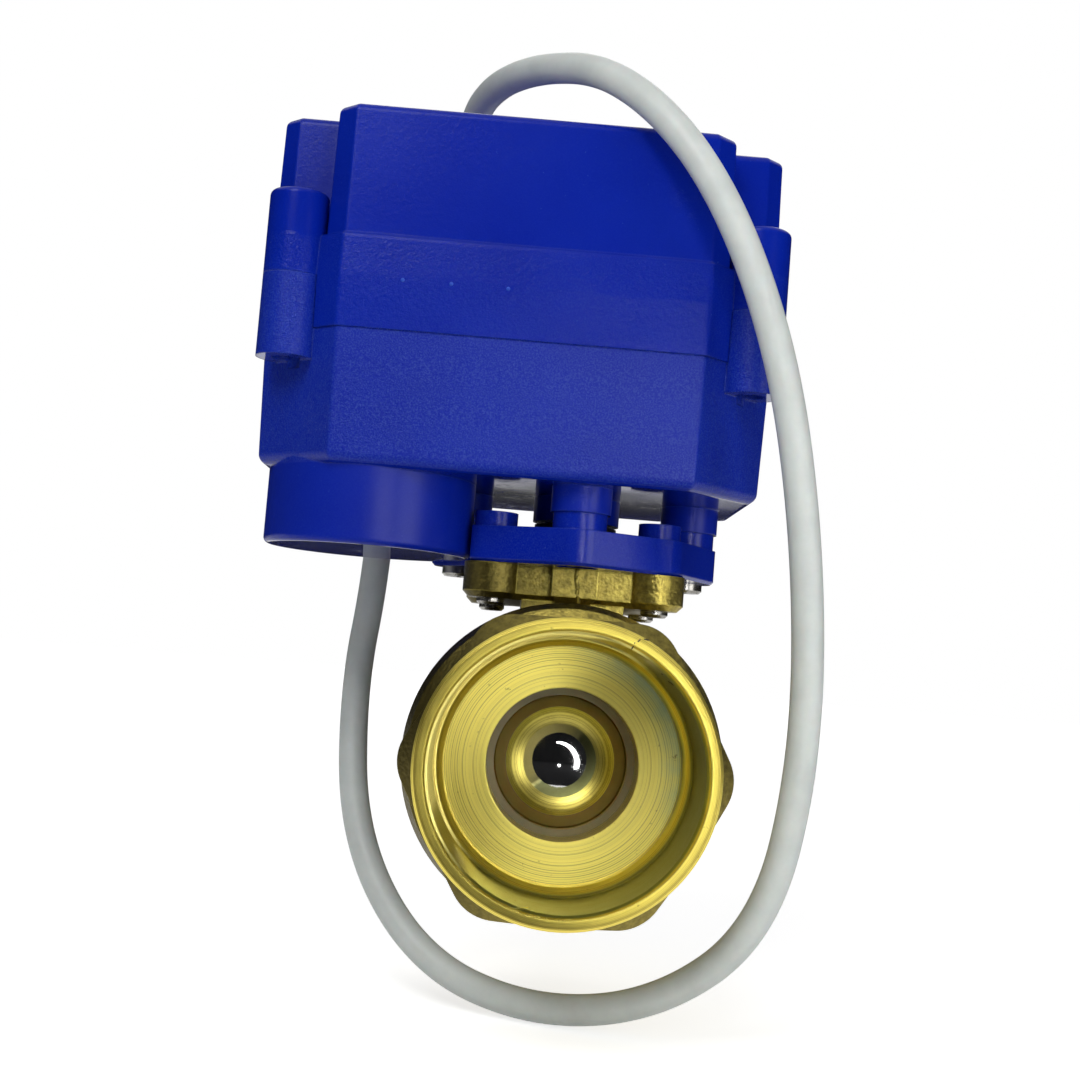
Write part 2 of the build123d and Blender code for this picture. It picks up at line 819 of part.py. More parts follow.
def first_axle_place():
    """Where both gear distances from the motor and from the second axle are met."""
    sx, sy = second_axle_place()
    from_motor = (pinion_teeth + wheel_teeth) * first_module / 2
    from_second = (pinion_teeth + wheel_teeth) * second_module / 2
    dx, dy = sx - motor_x, sy - motor_y
    span = math.hypot(dx, dy)
    along = (from_motor**2 - from_second**2 + span**2) / (2 * span)
    across = math.sqrt(from_motor**2 - along**2)
    return (motor_x + (dx * along + dy * across) / span, motor_y + (dy * along - dx * across) / span)


def second_axle_place():
    distance = (pinion_teeth + wheel_teeth) * output_module / 2
    angle = math.radians(second_axle_angle)
    return distance * math.cos(angle), distance * math.sin(angle)


def tooth_outline(teeth, module, steps):
    """Involute toothed outline with one tooth centred on the X axis."""
    pitch = teeth * module / 2
    base = pitch * math.cos(math.radians(pressure_angle))
    tip = pitch + 0.9 * module
    root = pitch - 1.15 * module
    half_pitch_angle = (math.pi * module / 2 - backlash) / (2 * pitch)

    def involute(radius):
        angle = math.acos(min(1.0, base / radius))
        return math.tan(angle) - angle

    start = max(base, root)
    radii = [start + (tip - start) * i / (steps - 1) for i in range(steps)]
    if start > root + 0.01:
        radii.insert(0, root)
    flank = [(r, half_pitch_angle + involute(pitch) - involute(max(r, base))) for r in radii]
    points = []
    for tooth in range(teeth):
        centre = 2 * math.pi * tooth / teeth
        points += [(r * math.cos(centre - a), r * math.sin(centre - a)) for r, a in flank]
        points += [(r * math.cos(centre + a), r * math.sin(centre + a)) for r, a in reversed(flank)]
    return make_face(Polyline(*points, close=True))


def toothed(teeth, module, place, turn, bottom, top, steps):
    """Spur gear standing at a place, turned by an angle in degrees."""
    x, y = place
    return prism(Pos(x, y) * Rot(0, 0, turn) * tooth_outline(teeth, module, steps), bottom, top)


def bearing_to(start, end):
    """Direction in degrees from one place to another."""
    return math.degrees(math.atan2(end[1] - start[1], end[0] - start[0]))


def wheel_turn(wheel_place, pinion_place):
    """Angle that puts a gap of the wheel on the line to its pinion."""
    return bearing_to(wheel_place, pinion_place) + 180 / wheel_teeth


def pinion_turn(wheel_place, pinion_place):
    """Angle that puts a tooth of the pinion on the line to its wheel."""
    return bearing_to(pinion_place, wheel_place)


motor_place = (motor_x, motor_y)
output_place = (0.0, 0.0)
first_place = first_axle_place()
second_place = second_axle_place()


def motor_pinion():
    """Motor shaft with its pinion."""
    pinion = toothed(pinion_teeth, first_module, motor_place, pinion_turn(first_place, motor_place),
                     first_wheel_bottom - pinion_margin, first_wheel_top + pinion_margin, 4)
    shaft = upright(motor_x, motor_y, gear_plate_bottom - motor_shaft_depth,
                    first_wheel_top + motor_shaft_rise, motor_shaft_radius)
    return pinion + shaft


def first_gear():
    """First wheel with the second stage's pinion on top."""
    x, y = first_place
    gear = toothed(wheel_teeth, first_module, first_place, wheel_turn(first_place, motor_place),
                   first_wheel_bottom, first_wheel_top, 3)
    gear += upright(x, y, gear_plate_top + running_gap, first_wheel_bottom, first_hub_radius)
    gear += toothed(pinion_teeth, second_module, first_place, pinion_turn(second_place, first_place),
                    first_wheel_top, second_wheel_top + pinion_margin, 4)
    return gear - upright(x, y, gear_plate_top - 1, cover_top, first_axle_radius + running_gap)


def second_gear():
    """Second wheel with the output stage's pinion on top."""
    x, y = second_place
    gear = toothed(wheel_teeth, second_module, second_place, wheel_turn(second_place, first_place),
                   second_wheel_bottom, second_wheel_top, 3)
    gear += upright(x, y, gear_plate_top + running_gap, second_wheel_bottom, second_hub_radius)
    gear += toothed(pinion_teeth, output_module, second_place, pinion_turn(output_place, second_place),
                    second_wheel_top, upper_plate_bottom - 0.1, 4)
    return gear - upright(x, y, gear_plate_top - 1, cover_top, second_axle_radius + running_gap)


def output_gear():
    """Large wheel on the output shaft, with a thinner web between hub and rim."""
    gear = toothed(wheel_teeth, output_module, output_place, wheel_turn(output_place, second_place),
                   output_gear_bottom, output_gear_top, 3)
    rim = wheel_teeth * output_module / 2 - output_rim_width
    web = upright(0, 0, output_gear_bottom + output_web_height, output_gear_top + 1, rim)
    web -= upright(0, 0, output_gear_bottom, output_gear_top + 2, output_shaft_radius + output_hub_width)
    gear -= web
    gear += upright(0, 0, output_gear_bottom - hub_rise, output_gear_bottom,
                    output_shaft_radius + collar_width)
    return gear - flatted_shaft(output_gear_bottom - 1, output_gear_top + 1, output_shaft_radius, fit_gap)


def flatted_shaft(bottom, top, radius, gap=0.0):
    """Round shaft with one flat, on the side away from the second axle."""
    shaft = upright(0, 0, bottom, top, radius + gap)
    return shaft - bar(radius * 0.8 + gap, 2 * radius, -2 * radius, 2 * radius, bottom - 1, top + 1)


def output_shaft():
    tail = shaft_tail_square / 2
    tail_top = housing_bottom - output_boss_drop
    shaft = bar(-tail, tail, -tail, tail, shaft_tail_bottom, tail_top)
    collar_top = output_gear_bottom - hub_rise
    shaft += upright(0, 0, tail_top, collar_top, output_shaft_radius)
    bush_top = floor_top + inner_boss_height + bush_flange
    for bottom in (bush_top + running_gap, collar_top - collar_height):
        shaft += upright(0, 0, bottom, bottom + collar_height, output_shaft_radius + collar_width)
    shaft += flatted_shaft(collar_top, output_gear_top, output_shaft_radius)
    shaft += flatted_shaft(output_gear_top, cam_bottom + cam_height + shaft_top_rise,
                          output_shaft_upper_radius)
    return shaft


def output_bush():
    bottom = bush_bottom
    top = floor_top + inner_boss_height
    outer = output_shaft_radius + running_gap + bush_wall
    bush = upright(0, 0, bottom, top, outer)
    bush += upright(0, 0, top, top + bush_flange, outer + bush_flange_width)
    return bush - upright(0, 0, bottom - 1, top + 2, output_shaft_radius + running_gap)


def motor_can():
    bottom = motor_bottom + motor_cap_height
    can = upright(motor_x, motor_y, bottom, gear_plate_bottom, motor_radius)
    can = fillet(can.edges().group_by(Axis.Z)[-1], 0.8)
    can += upright(motor_x, motor_y, gear_plate_bottom - 1, gear_plate_top, motor_boss_radius)
    can -= upright(motor_x, motor_y, gear_plate_bottom - motor_shaft_depth - 1, gear_plate_top + 1,
                   motor_shaft_radius + running_gap)
    for x, y in motor_screw_places():
        can -= upright(x, y, gear_plate_bottom - motor_screw_reach, gear_plate_bottom + 1,
                       motor_screw_radius)
    return can


def motor_cap():
    cap = upright(motor_x, motor_y, motor_bottom, motor_bottom + motor_cap_height, motor_radius)
    return chamfer(cap.edges().group_by(Axis.Z)[0], 0.6)


def motor_screw_places():
    """Two screws on a line square to the one from the motor to the first axle."""
    angle = math.radians(bearing_to(motor_place, first_place) + 100)
    dx, dy = motor_screw_offset * math.cos(angle), motor_screw_offset * math.sin(angle)
    return [(motor_x + dx, motor_y + dy), (motor_x - dx, motor_y - dy)]


def motor_screws():
    screws = []
    for x, y in motor_screw_places():
        screws.append(slotted_screw(x, y, gear_plate_top, gear_plate_bottom - motor_screw_reach,
                                    motor_screw_head_radius, motor_screw_head_height,
                                    motor_screw_radius))
    return group(screws)


def lower_gear_plate():
    """Steel plate over the motor that carries both axles."""
    drop = math.tan(math.radians(lower_draft)) * (skirt_bottom - gear_plate_bottom)
    outline = inset(lower_outline(), housing_wall + cavity_margin + drop + gear_plate_gap)
    plate = prism(outline, gear_plate_bottom, gear_plate_top)
    plate -= upright(motor_x, motor_y, gear_plate_bottom - 1, gear_plate_top + 1,
                     motor_boss_radius + running_gap)
    plate -= upright(0, 0, gear_plate_bottom - 1, gear_plate_top + 1, output_shaft_radius + gear_plate_gap)
    plate -= upright(gland_x, gland_y, gear_plate_bottom - 1, gear_plate_top + 1, gland_radius + 1)
    for x, y in motor_screw_places():
        plate -= upright(x, y, gear_plate_bottom - 1, gear_plate_top + 1, motor_screw_radius)
    for x, y in gear_posts:
        plate -= upright(x, y, gear_plate_bottom - 1, gear_plate_top + 1, gear_screw_radius)
    for (x, y), radius in ((first_place, first_axle_radius), (second_place, second_axle_radius)):
        plate -= upright(x, y, gear_plate_bottom - 1, gear_plate_top + 1, radius)
    return plate


def upper_gear_plate():
    outline = make_face(Polyline(*upper_plate_corners(), close=True))
    outline = offset(outline, amount=upper_plate_margin, kind=Kind.ARC)
    plate = prism(outline, upper_plate_bottom, upper_plate_top)
    plate -= upright(0, 0, upper_plate_bottom - 1, upper_plate_top + 1,
                     output_shaft_upper_radius + running_gap)
    x, y = second_place
    plate -= upright(x, y, upper_plate_bottom - 1, upper_plate_top + 1, second_axle_radius)
    for x, y in gear_posts:
        plate -= upright(x, y, upper_plate_bottom - 1, upper_plate_top + 1, gear_screw_radius)
    return plate


def upper_plate_corners():
    front_right, rear_right, rear, left = gear_posts
    return [front_right, rear_right, rear, left, (left[0] + 2, -left[1] - 1.5)]


def gear_plate_posts():
    posts = []
    for x, y in gear_posts:
        post = upright(x, y, gear_plate_top, upper_plate_bottom, gear_post_radius)
        posts.append(post - upright(x, y, gear_plate_top - 1, upper_plate_bottom + 1, gear_screw_radius))
    return group(posts)


def gear_plate_screws():
    screws = []
    for x, y in gear_posts:
        screws.append(slotted_screw(x, y, upper_plate_top, floor_top + 3, gear_screw_head_radius,
                                    gear_screw_head_height, gear_screw_radius))
    return group(screws)


def first_axle():
    """Shoulder pin that stands in the lower plate only, under the output gear."""
    x, y = first_place
    top = second_wheel_top + axle_end_gap
    pin = upright(x, y, gear_plate_bottom, top, first_axle_radius)
    return pin + upright(x, y, top, top + axle_head_height, first_axle_radius + axle_head_width)


def second_axle():
    x, y = second_place
    return upright(x, y, gear_plate_bottom, upper_plate_top + axle_head_height, second_axle_radius)


# limit switches and board

def limit_cam():
    """Cam with one lobe, which faces the closed switch when the valve is closed."""
    top = cam_bottom + cam_height
    half = math.radians(cam_lobe_angle / 2)
    reach = 2 * cam_lobe_radius
    wedge = make_face(Polyline((0, 0), (reach * math.cos(half), reach * math.sin(half)),
                               (reach * math.cos(half), -reach * math.sin(half)), close=True))
    lobe = upright(0, 0, cam_bottom, top, cam_lobe_radius) & prism(wedge, cam_bottom, top)
    cam = upright(0, 0, cam_bottom, top, cam_base_radius) + lobe
    return cam - flatted_shaft(cam_bottom - 1, top + 1, output_shaft_upper_radius, fit_gap)


def switch_face():
    """Distance from the shaft to the front face of a switch."""
    return cam_lobe_radius + lever_cam_gap + lever_thickness + lever_gap + plunger_reach


def limit_switch(turn):
    """Switch body with its plunger, beside the cam, turned about the shaft."""
    face = switch_face()
    half = switch_length / 2
    body = bar(face, face + switch_depth, -half, half, upper_plate_top, upper_plate_top + switch_height)
    for y in (-half + switch_hole_inset, half - switch_hole_inset):
        body -= upright(face + switch_depth - switch_hole_setback, y, upper_plate_top - 1,
                        upper_plate_top + switch_height + 1, switch_hole_radius)
    middle = upper_plate_top + switch_height / 2
    sunk = plunger_radius
    plunger = Pos(face - (plunger_reach - sunk) / 2, 0, middle) * Rot(0, 90, 0) * Cylinder(
        plunger_radius, plunger_reach + sunk)
    ears_x = lever_line()
    knuckle_y = -half + knuckle_setback
    near = lever_height / 2 + ear_gap
    far = near + ear_thickness
    for low, high in ((middle - far, middle - near), (middle + near, middle + far)):
        body += bar(ears_x - ear_half_width, face + 0.5, knuckle_y - ear_half_width,
                    knuckle_y + ear_half_width, low, high)
    pin = upright(ears_x, knuckle_y, middle - far, middle + far, lever_pin_radius)
    return Rot(0, 0, turn) * (body + plunger + pin)


def lever_line():
    """Distance from the shaft to the middle of a lever."""
    return cam_lobe_radius + lever_cam_gap + lever_thickness / 2


def switch_lever(turn):
    """Leaf that hangs on the switch's pin and lies between the cam and the plunger."""
    half = switch_length / 2
    middle = upper_plate_top + switch_height / 2
    knuckle_y = -half + knuckle_setback
    x = lever_line()
    low, high = middle - lever_height / 2, middle + lever_height / 2
    leaf = bar(x - lever_thickness / 2, x + lever_thickness / 2, knuckle_y, knuckle_y + lever_length,
               low, high)
    leaf += upright(x, knuckle_y, low, high, knuckle_radius)
    leaf -= upright(x, knuckle_y, low - 1, high + 1, lever_pin_radius + running_gap)
    return Rot(0, 0, turn) * leaf


def circuit_board():
    half_length_x, half_width = board_length / 2, board_width / 2
    board = bar(board_centre_x - half_length_x, board_centre_x + half_length_x, -half_width, half_width,
                board_bottom, board_top)
    for x, y in board_spacer_places():
        board -= upright(x, y, board_bottom - 1, board_top + 1, spacer_pin_radius)
    return board


def board_spacer_places():
    """Three near the board's corners and one further in, where the terminal leaves room."""
    reach_x, reach_y = board_length / 2 - spacer_inset, board_width / 2 - spacer_inset
    return [(board_centre_x - reach_x, -reach_y), (board_centre_x + reach_x, -reach_y),
            (board_centre_x + reach_x, reach_y), (board_centre_x - reach_x, 0.0)]


def board_spacers():
    """Spacers with a pin that is riveted over on top of the board."""
    pieces = []
    for x, y in board_spacer_places():
        spacer = upright(x, y, upper_plate_top, board_bottom, spacer_radius)
        spacer += upright(x, y, board_bottom, board_top, spacer_pin_radius)
        head_top = board_top + spacer_head_height
        pieces.append(spacer + upright(x, y, board_top, head_top, spacer_head_radius))
    return group(pieces)


def terminal_block():
    x, y = gland_x - lead_shift, board_width / 2 - terminal_inset
    top = board_top + terminal_height
    block = bar(x - terminal_half_length, x + terminal_half_length, y - terminal_half_width,
                y + terminal_half_width, board_top, top)
    for i in (-1, 0, 1):
        block -= upright(x + i * lead_spacing * 1.4, y - terminal_half_width / 5,
                         top - terminal_hole_depth, top + 1, terminal_hole_radius)
    return block


def board_parts():
    """Driver chip, relay, diode and capacitor on the board."""
    parts = []
    for (length, width, height), (x, y) in (
            (chip_size, chip_place), (relay_size, relay_place), (diode_size, diode_place)):
        x += board_centre_x
        parts.append(bar(x - length / 2, x + length / 2, y - width / 2, y + width / 2,
                         board_top, board_top + height))
    x, y = capacitor_place
    parts.append(upright(board_centre_x + x, y, board_top, board_top + capacitor_height,
                         capacitor_radius))
    return group(parts)


def inner_leads():
    """Three leads from the gland up behind the plates and over to the terminal block."""
    height = board_top + terminal_height / 2
    leads = []
    for i in (-1, 0, 1):
        low = gland_x + i * lead_spacing
        high = low - lead_shift
        path = FilletPolyline((low, gland_y, gland_top()), (low, gland_y, gland_top() + 3.5),
                              (high, lead_setback, gland_top() + 8.5), (high, lead_setback, height),
                              (high, board_width / 2 - 0.6, height), radius=2.4)
        leads.append(sweep(Plane(origin=path @ 0, z_dir=path % 0) * Circle(lead_radius), path=path))
    return group(leads)


# cable

def gland_top():
    return floor_top + gland_lip


def cable_gland():
    """Moulded grommet: tapered sleeve below the floor, neck through it and a lip above it."""
    radius = cable_diameter / 2
    bottom = housing_bottom - gland_drop
    neck = gland_neck_radius()
    profile = [
        (0, bottom), (radius + gland_mouth_wall, bottom),
        (neck, housing_bottom - gland_rib_height - 0.6),
        (gland_radius, housing_bottom - gland_rib_height),
        (gland_radius, housing_bottom), (neck, housing_bottom), (neck, floor_top),
        (gland_lip_radius, floor_top), (gland_lip_radius - 0.4, gland_top()), (0, gland_top()),
    ]
    return Pos(gland_x, gland_y, 0) * turned_on_stem(profile)


def cable_path():
    """Route as straight runs joined by arcs, each as large as its two runs allow."""
    points = [Vector(*point) for point in cable_route]
    radii = []
    for before, here, after in zip(points, points[1:], points[2:]):
        shorter = min((here - before).length, (after - here).length)
        turn = (here - before).get_angle(after - here)
        radii.append(0.45 * shorter / math.tan(math.radians(turn / 2)))
    print("cable arc radii:", ", ".join(f"{radius:.1f}" for radius in radii))
    return FilletPolyline(*points, radius=radii)


def cable():
    path = cable_path()
    section = Plane(origin=path @ 0, z_dir=path % 0) * Circle(cable_diameter / 2)
    tube = sweep(section, path=path)
    expected = math.pi * (cable_diameter / 2) ** 2 * path.length
    print(f"cable length {path.length:.1f}, volume {tube.volume:.1f}, section times length {expected:.1f}")
    return tube


def conductor(index):
    """One of three leads that leave the cable's cut end, spread a little."""
    end, before = Vector(*cable_route[-1]), Vector(*cable_route[-2])
    along = (end - before).normalized()
    plane = Plane(origin=end, z_dir=along)
    angle = math.radians(120 * index)
    side = plane.x_dir * math.cos(angle) + plane.y_dir * math.sin(angle)
    start = end + side * conductor_offset
    direction = (along + side * conductor_spread).normalized()
    return start, direction


def conductor_sleeve(index):
    start, direction = conductor(index)
    length = conductor_length - stripped_length
    sleeve = extrude(Plane(origin=start, z_dir=direction) * Circle(conductor_radius), amount=length)
    end, before = Vector(*cable_route[-1]), Vector(*cable_route[-2])
    along = (end - before).normalized()
    reach = 2 * cable_diameter
    behind = Plane(origin=end - along * (reach / 2), z_dir=along) * Cylinder(cable_diameter, reach)
    return sleeve - behind


def conductor_tips():
    tips = []
    for index in range(3):
        start, direction = conductor(index)
        base = start + direction * (conductor_length - stripped_length)
        tips.append(extrude(Plane(origin=base, z_dir=direction) * Circle(conductor_radius * 0.6),
                            amount=stripped_length))
    return group(tips)


pieces = {
    "valve_body": valve_body(),
    "end_connector": end_connector(),
    "front_seat": seat_ring(),
    "rear_seat": mirror(seat_ring(), about=Plane.XZ),
    "body_o_ring": o_ring_on_spigot(),
    "ball": ball(),
    "stem": stem(),
    "stem_o_rings": stem_o_rings(),
    "thrust_washer": thrust_washer(),
    "drive_coupling": drive_coupling(),
    "mounting_plate": mounting_plate(),
    "flange_screws": flange_screws(),
    "pillar_screws": pillar_screws(),
    "lower_housing": lower_housing(),
    "top_cover": top_cover(),
    "cover_seal": cover_seal(),
    "cover_screws": cover_screws(),
    "motor_can": motor_can(),
    "motor_cap": motor_cap(),
    "motor_screws": motor_screws(),
    "motor_pinion": motor_pinion(),
    "lower_gear_plate": lower_gear_plate(),
    "upper_gear_plate": upper_gear_plate(),
    "gear_plate_posts": gear_plate_posts(),
    "gear_plate_screws": gear_plate_screws(),
    "first_axle": first_axle(),
    "second_axle": second_axle(),
    "first_gear": first_gear(),
    "second_gear": second_gear(),
    "output_gear": output_gear(),
    "output_shaft": output_shaft(),
    "output_bush": output_bush(),
    "limit_cam": limit_cam(),
    "closed_switch": limit_switch(0),
    "open_switch": limit_switch(90),
    "closed_switch_lever": switch_lever(0),
    "open_switch_lever": switch_lever(90),
    "circuit_board": circuit_board(),
    "board_spacers": board_spacers(),
    "terminal_block": terminal_block(),
    "board_parts": board_parts(),
    "inner_leads": inner_leads(),
    "cable_gland": cable_gland(),
    "cable": cable(),
    "conductor_red": conductor_sleeve(0),
    "conductor_black": conductor_sleeve(1),
    "conductor_green": conductor_sleeve(2),
    "conductor_tips": conductor_tips(),
}

for name, piece in pieces.items():
    export_step(piece, f"parts/{name}.step")
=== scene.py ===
import math
import random

import bmesh
import bpy
from mathutils import Matrix, Vector


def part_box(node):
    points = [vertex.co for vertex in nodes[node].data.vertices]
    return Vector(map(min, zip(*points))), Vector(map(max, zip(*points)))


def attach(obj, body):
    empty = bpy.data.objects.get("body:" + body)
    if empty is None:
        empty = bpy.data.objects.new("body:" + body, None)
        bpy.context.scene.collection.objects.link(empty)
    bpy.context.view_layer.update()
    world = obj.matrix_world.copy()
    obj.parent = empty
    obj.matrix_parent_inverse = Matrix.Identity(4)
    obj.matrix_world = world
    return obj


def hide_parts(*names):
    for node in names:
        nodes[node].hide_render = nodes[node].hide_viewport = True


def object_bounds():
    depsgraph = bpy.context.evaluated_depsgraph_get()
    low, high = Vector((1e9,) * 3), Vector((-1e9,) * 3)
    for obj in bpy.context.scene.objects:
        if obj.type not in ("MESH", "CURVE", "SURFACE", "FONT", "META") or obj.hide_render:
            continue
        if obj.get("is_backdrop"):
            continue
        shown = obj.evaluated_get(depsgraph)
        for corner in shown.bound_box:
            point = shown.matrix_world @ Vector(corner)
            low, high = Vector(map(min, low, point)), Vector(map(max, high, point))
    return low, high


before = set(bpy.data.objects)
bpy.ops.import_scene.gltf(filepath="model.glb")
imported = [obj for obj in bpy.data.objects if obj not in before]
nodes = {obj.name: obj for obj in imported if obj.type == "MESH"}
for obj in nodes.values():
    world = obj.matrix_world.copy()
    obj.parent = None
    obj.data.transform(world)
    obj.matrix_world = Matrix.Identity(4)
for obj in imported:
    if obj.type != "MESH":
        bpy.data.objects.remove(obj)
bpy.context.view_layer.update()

mm = 0.001
print("frame loaded:", len(nodes), "nodes")


# camera at the place and tilt that the photo was taken from

cameraView = {
    "place": (-8.289, -234.531, 12.132),  # mm
    "turn": 0.813,                        # degrees towards +X
    "rise": 4.553,                        # degrees up
    "roll": 4.605,                        # degrees, picture leans clockwise
    "lens": 54.147,                       # mm on a 36 mm sensor
}


def makeCamera(view):
    turn, rise, roll = (math.radians(view[k]) for k in ("turn", "rise", "roll"))
    ahead = Vector((math.sin(turn) * math.cos(rise), math.cos(turn) * math.cos(rise), math.sin(rise)))
    levelRight = Vector((math.cos(turn), -math.sin(turn), 0))
    levelUp = levelRight.cross(ahead)
    right = levelRight * math.cos(roll) + levelUp * math.sin(roll)
    up = levelUp * math.cos(roll) - levelRight * math.sin(roll)
    data = bpy.data.cameras.new("photoCamera")
    data.lens = view["lens"]
    data.sensor_width = 36
    data.clip_start, data.clip_end = 0.01, 20
    camera = bpy.data.objects.new("photoCamera", data)
    bpy.context.scene.collection.objects.link(camera)
    turnMatrix = Matrix((right, up, -ahead)).transposed().to_4x4()
    camera.matrix_world = Matrix.Translation(Vector(view["place"]) * mm) @ turnMatrix
    bpy.context.scene.camera = camera


makeCamera(cameraView)
print("camera placed")


# shader helpers

def addNode(tree, kind, inputs=None, **settings):
    made = tree.nodes.new("ShaderNode" + kind)
    for key, value in settings.items():
        setattr(made, key, value)
    for key, value in (inputs or {}).items():
        if isinstance(value, bpy.types.NodeSocket):
            tree.links.new(value, made.inputs[key])
        else:
            made.inputs[key].default_value = value
    return made


def calc(tree, operation, a, b=0.0, c=0.0):
    return addNode(tree, "Math", {0: a, 1: b, 2: c}, operation=operation).outputs[0]


def rangeOf(tree, value, fromLow, fromHigh, toLow=0.0, toHigh=1.0):
    made = addNode(tree, "MapRange", {"Value": value, "From Min": fromLow, "From Max": fromHigh,
                                      "To Min": toLow, "To Max": toHigh})
    return made.outputs["Result"]


def inMetres(places):
    return [place * mm for place in places]


def bandOf(tree, value, rise, fall):
    # 1 between two places, with soft ends, all in mm
    return calc(tree, "MULTIPLY", rangeOf(tree, value, *inMetres(rise)),
                rangeOf(tree, value, *inMetres(fall), 1.0, 0.0))


def mixColours(tree, share, a, b):
    # share is a socket, a and b are sockets or colours
    made = tree.nodes.new("ShaderNodeMix")
    made.data_type = "RGBA"
    tree.links.new(share, made.inputs[0])
    for socket, value in ((made.inputs[6], a), (made.inputs[7], b)):
        if isinstance(value, bpy.types.NodeSocket):
            tree.links.new(value, socket)
        else:
            socket.default_value = (*value, 1)
    return made.outputs[2]


def leaningPlace(tree, x, z, way):
    # how far a point lies along a slanting way across the bore
    return calc(tree, "ADD", calc(tree, "MULTIPLY", x, way[0]), calc(tree, "MULTIPLY", z, way[1]))


def noiseOf(tree, vector, size, detail=2.0, rough=0.5, stretch=None):
    # size is the width of one blotch in mm
    if stretch:
        vector = addNode(tree, "VectorMath", {0: vector, 1: stretch}, operation="MULTIPLY").outputs[0]
    made = addNode(tree, "TexNoise", {"Vector": vector, "Scale": 1 / (size * mm), "Detail": detail,
                                      "Roughness": rough})
    return made.outputs["Fac"]


def startMaterial(name):
    material = bpy.data.materials.new(name)
    material.use_nodes = True
    tree = material.node_tree
    shader = tree.nodes["Principled BSDF"]
    place = addNode(tree, "TexCoord").outputs["Object"]
    return material, tree, shader, place


def setShader(shader, **values):
    names = {"metal": "Metallic", "rough": "Roughness", "specular": "Specular IOR Level",
             "streak": "Anisotropic", "soft": "Subsurface Weight", "softReach": "Subsurface Scale"}
    for key, value in values.items():
        shader.inputs[names[key]].default_value = value


def roundedNormal(tree, radius):
    # catches light along edges that the solid leaves sharp
    return addNode(tree, "Bevel", {"Radius": radius * mm}, samples=4).outputs["Normal"]


def edgeShare(tree, normal, spread=0.35):
    flat = addNode(tree, "NewGeometry").outputs["Normal"]
    meet = addNode(tree, "VectorMath", {0: normal, 1: flat}, operation="DOT_PRODUCT").outputs["Value"]
    return rangeOf(tree, meet, 1.0, 1.0 - spread)


def bumpFrom(tree, height, depth, normal=None):
    # depth in mm
    made = addNode(tree, "Bump", {"Height": height, "Distance": depth * mm, "Strength": 1.0})
    if normal is not None:
        tree.links.new(normal, made.inputs["Normal"])
    return made.outputs["Normal"]


def scratchShare(tree, place, size, stretch, cut):
    # thin light lines with a few long gaps between them
    lines = noiseOf(tree, place, size, 3.0, 0.6, stretch)
    near = calc(tree, "ABSOLUTE", calc(tree, "SUBTRACT", lines, 0.5))
    thin = rangeOf(tree, near, 0.0, cut, 1.0, 0.0)
    gaps = rangeOf(tree, noiseOf(tree, place, size * 9, 1.0), 0.56, 0.7)
    return calc(tree, "MULTIPLY", thin, gaps)


# finishes

blueHousing = {
    "colour": (0.0004, 0.015, 0.335),
    "deep": (0.0003, 0.011, 0.29),
    # pale colour for scratches, worn edges and dust specks, and for the painted sparkle on the pits' rims
    "dustAndSheen": (0.07, 0.14, 0.46),
    "rough": 0.22,
    "specular": 0.22,
    "grain": 0.62,         # mm across one pit of the spark finish
    "grainDepth": 0.11,    # mm
    "smoothBelow": None,   # mm, the level at which the spark finish ends
    "smoothAbove": None,
    "smoothShare": 0.22,   # how much of it is left beyond that level
    "fade": 0.2,           # mm
    # painted sparkle: the pits' rims are painted paler, standing in for light caught by the grain
    "rimSheen": 0.10,       # how pale the pits' rims look
    "edge": 0.35,          # mm
    "wear": 0.16,          # how pale the edges look
    "scratch": 0.08,       # how pale the scratches look
    "scratchSize": 1.9,    # mm
    "speck": 0.5,          # mm across one speck of dust
    "speckShare": 0.22,    # how pale it looks
    "dents": 26.0,         # mm across one shallow dent
    "clouds": 22.0,        # mm across one patch of deeper blue
    "underSmooth": 0.95,   # share of the grain that the undersides lack
    "underRough": 0.06,
}

# the lower housing has more painted sheen on its pits' rims
lowerBlue = {**blueHousing, "rough": 0.33, "rimSheen": 0.30, "smoothBelow": 37.2}
coverBlue = {**blueHousing, "specular": 0.16, "smoothAbove": 67.0, "smoothShare": 0.35}
plateBlue = {**blueHousing, "grain": 0.6, "grainDepth": 0.03, "edge": 0.25}
paleBlue = {**blueHousing, "colour": (0.03, 0.10, 0.62), "deep": (0.02, 0.07, 0.5)}


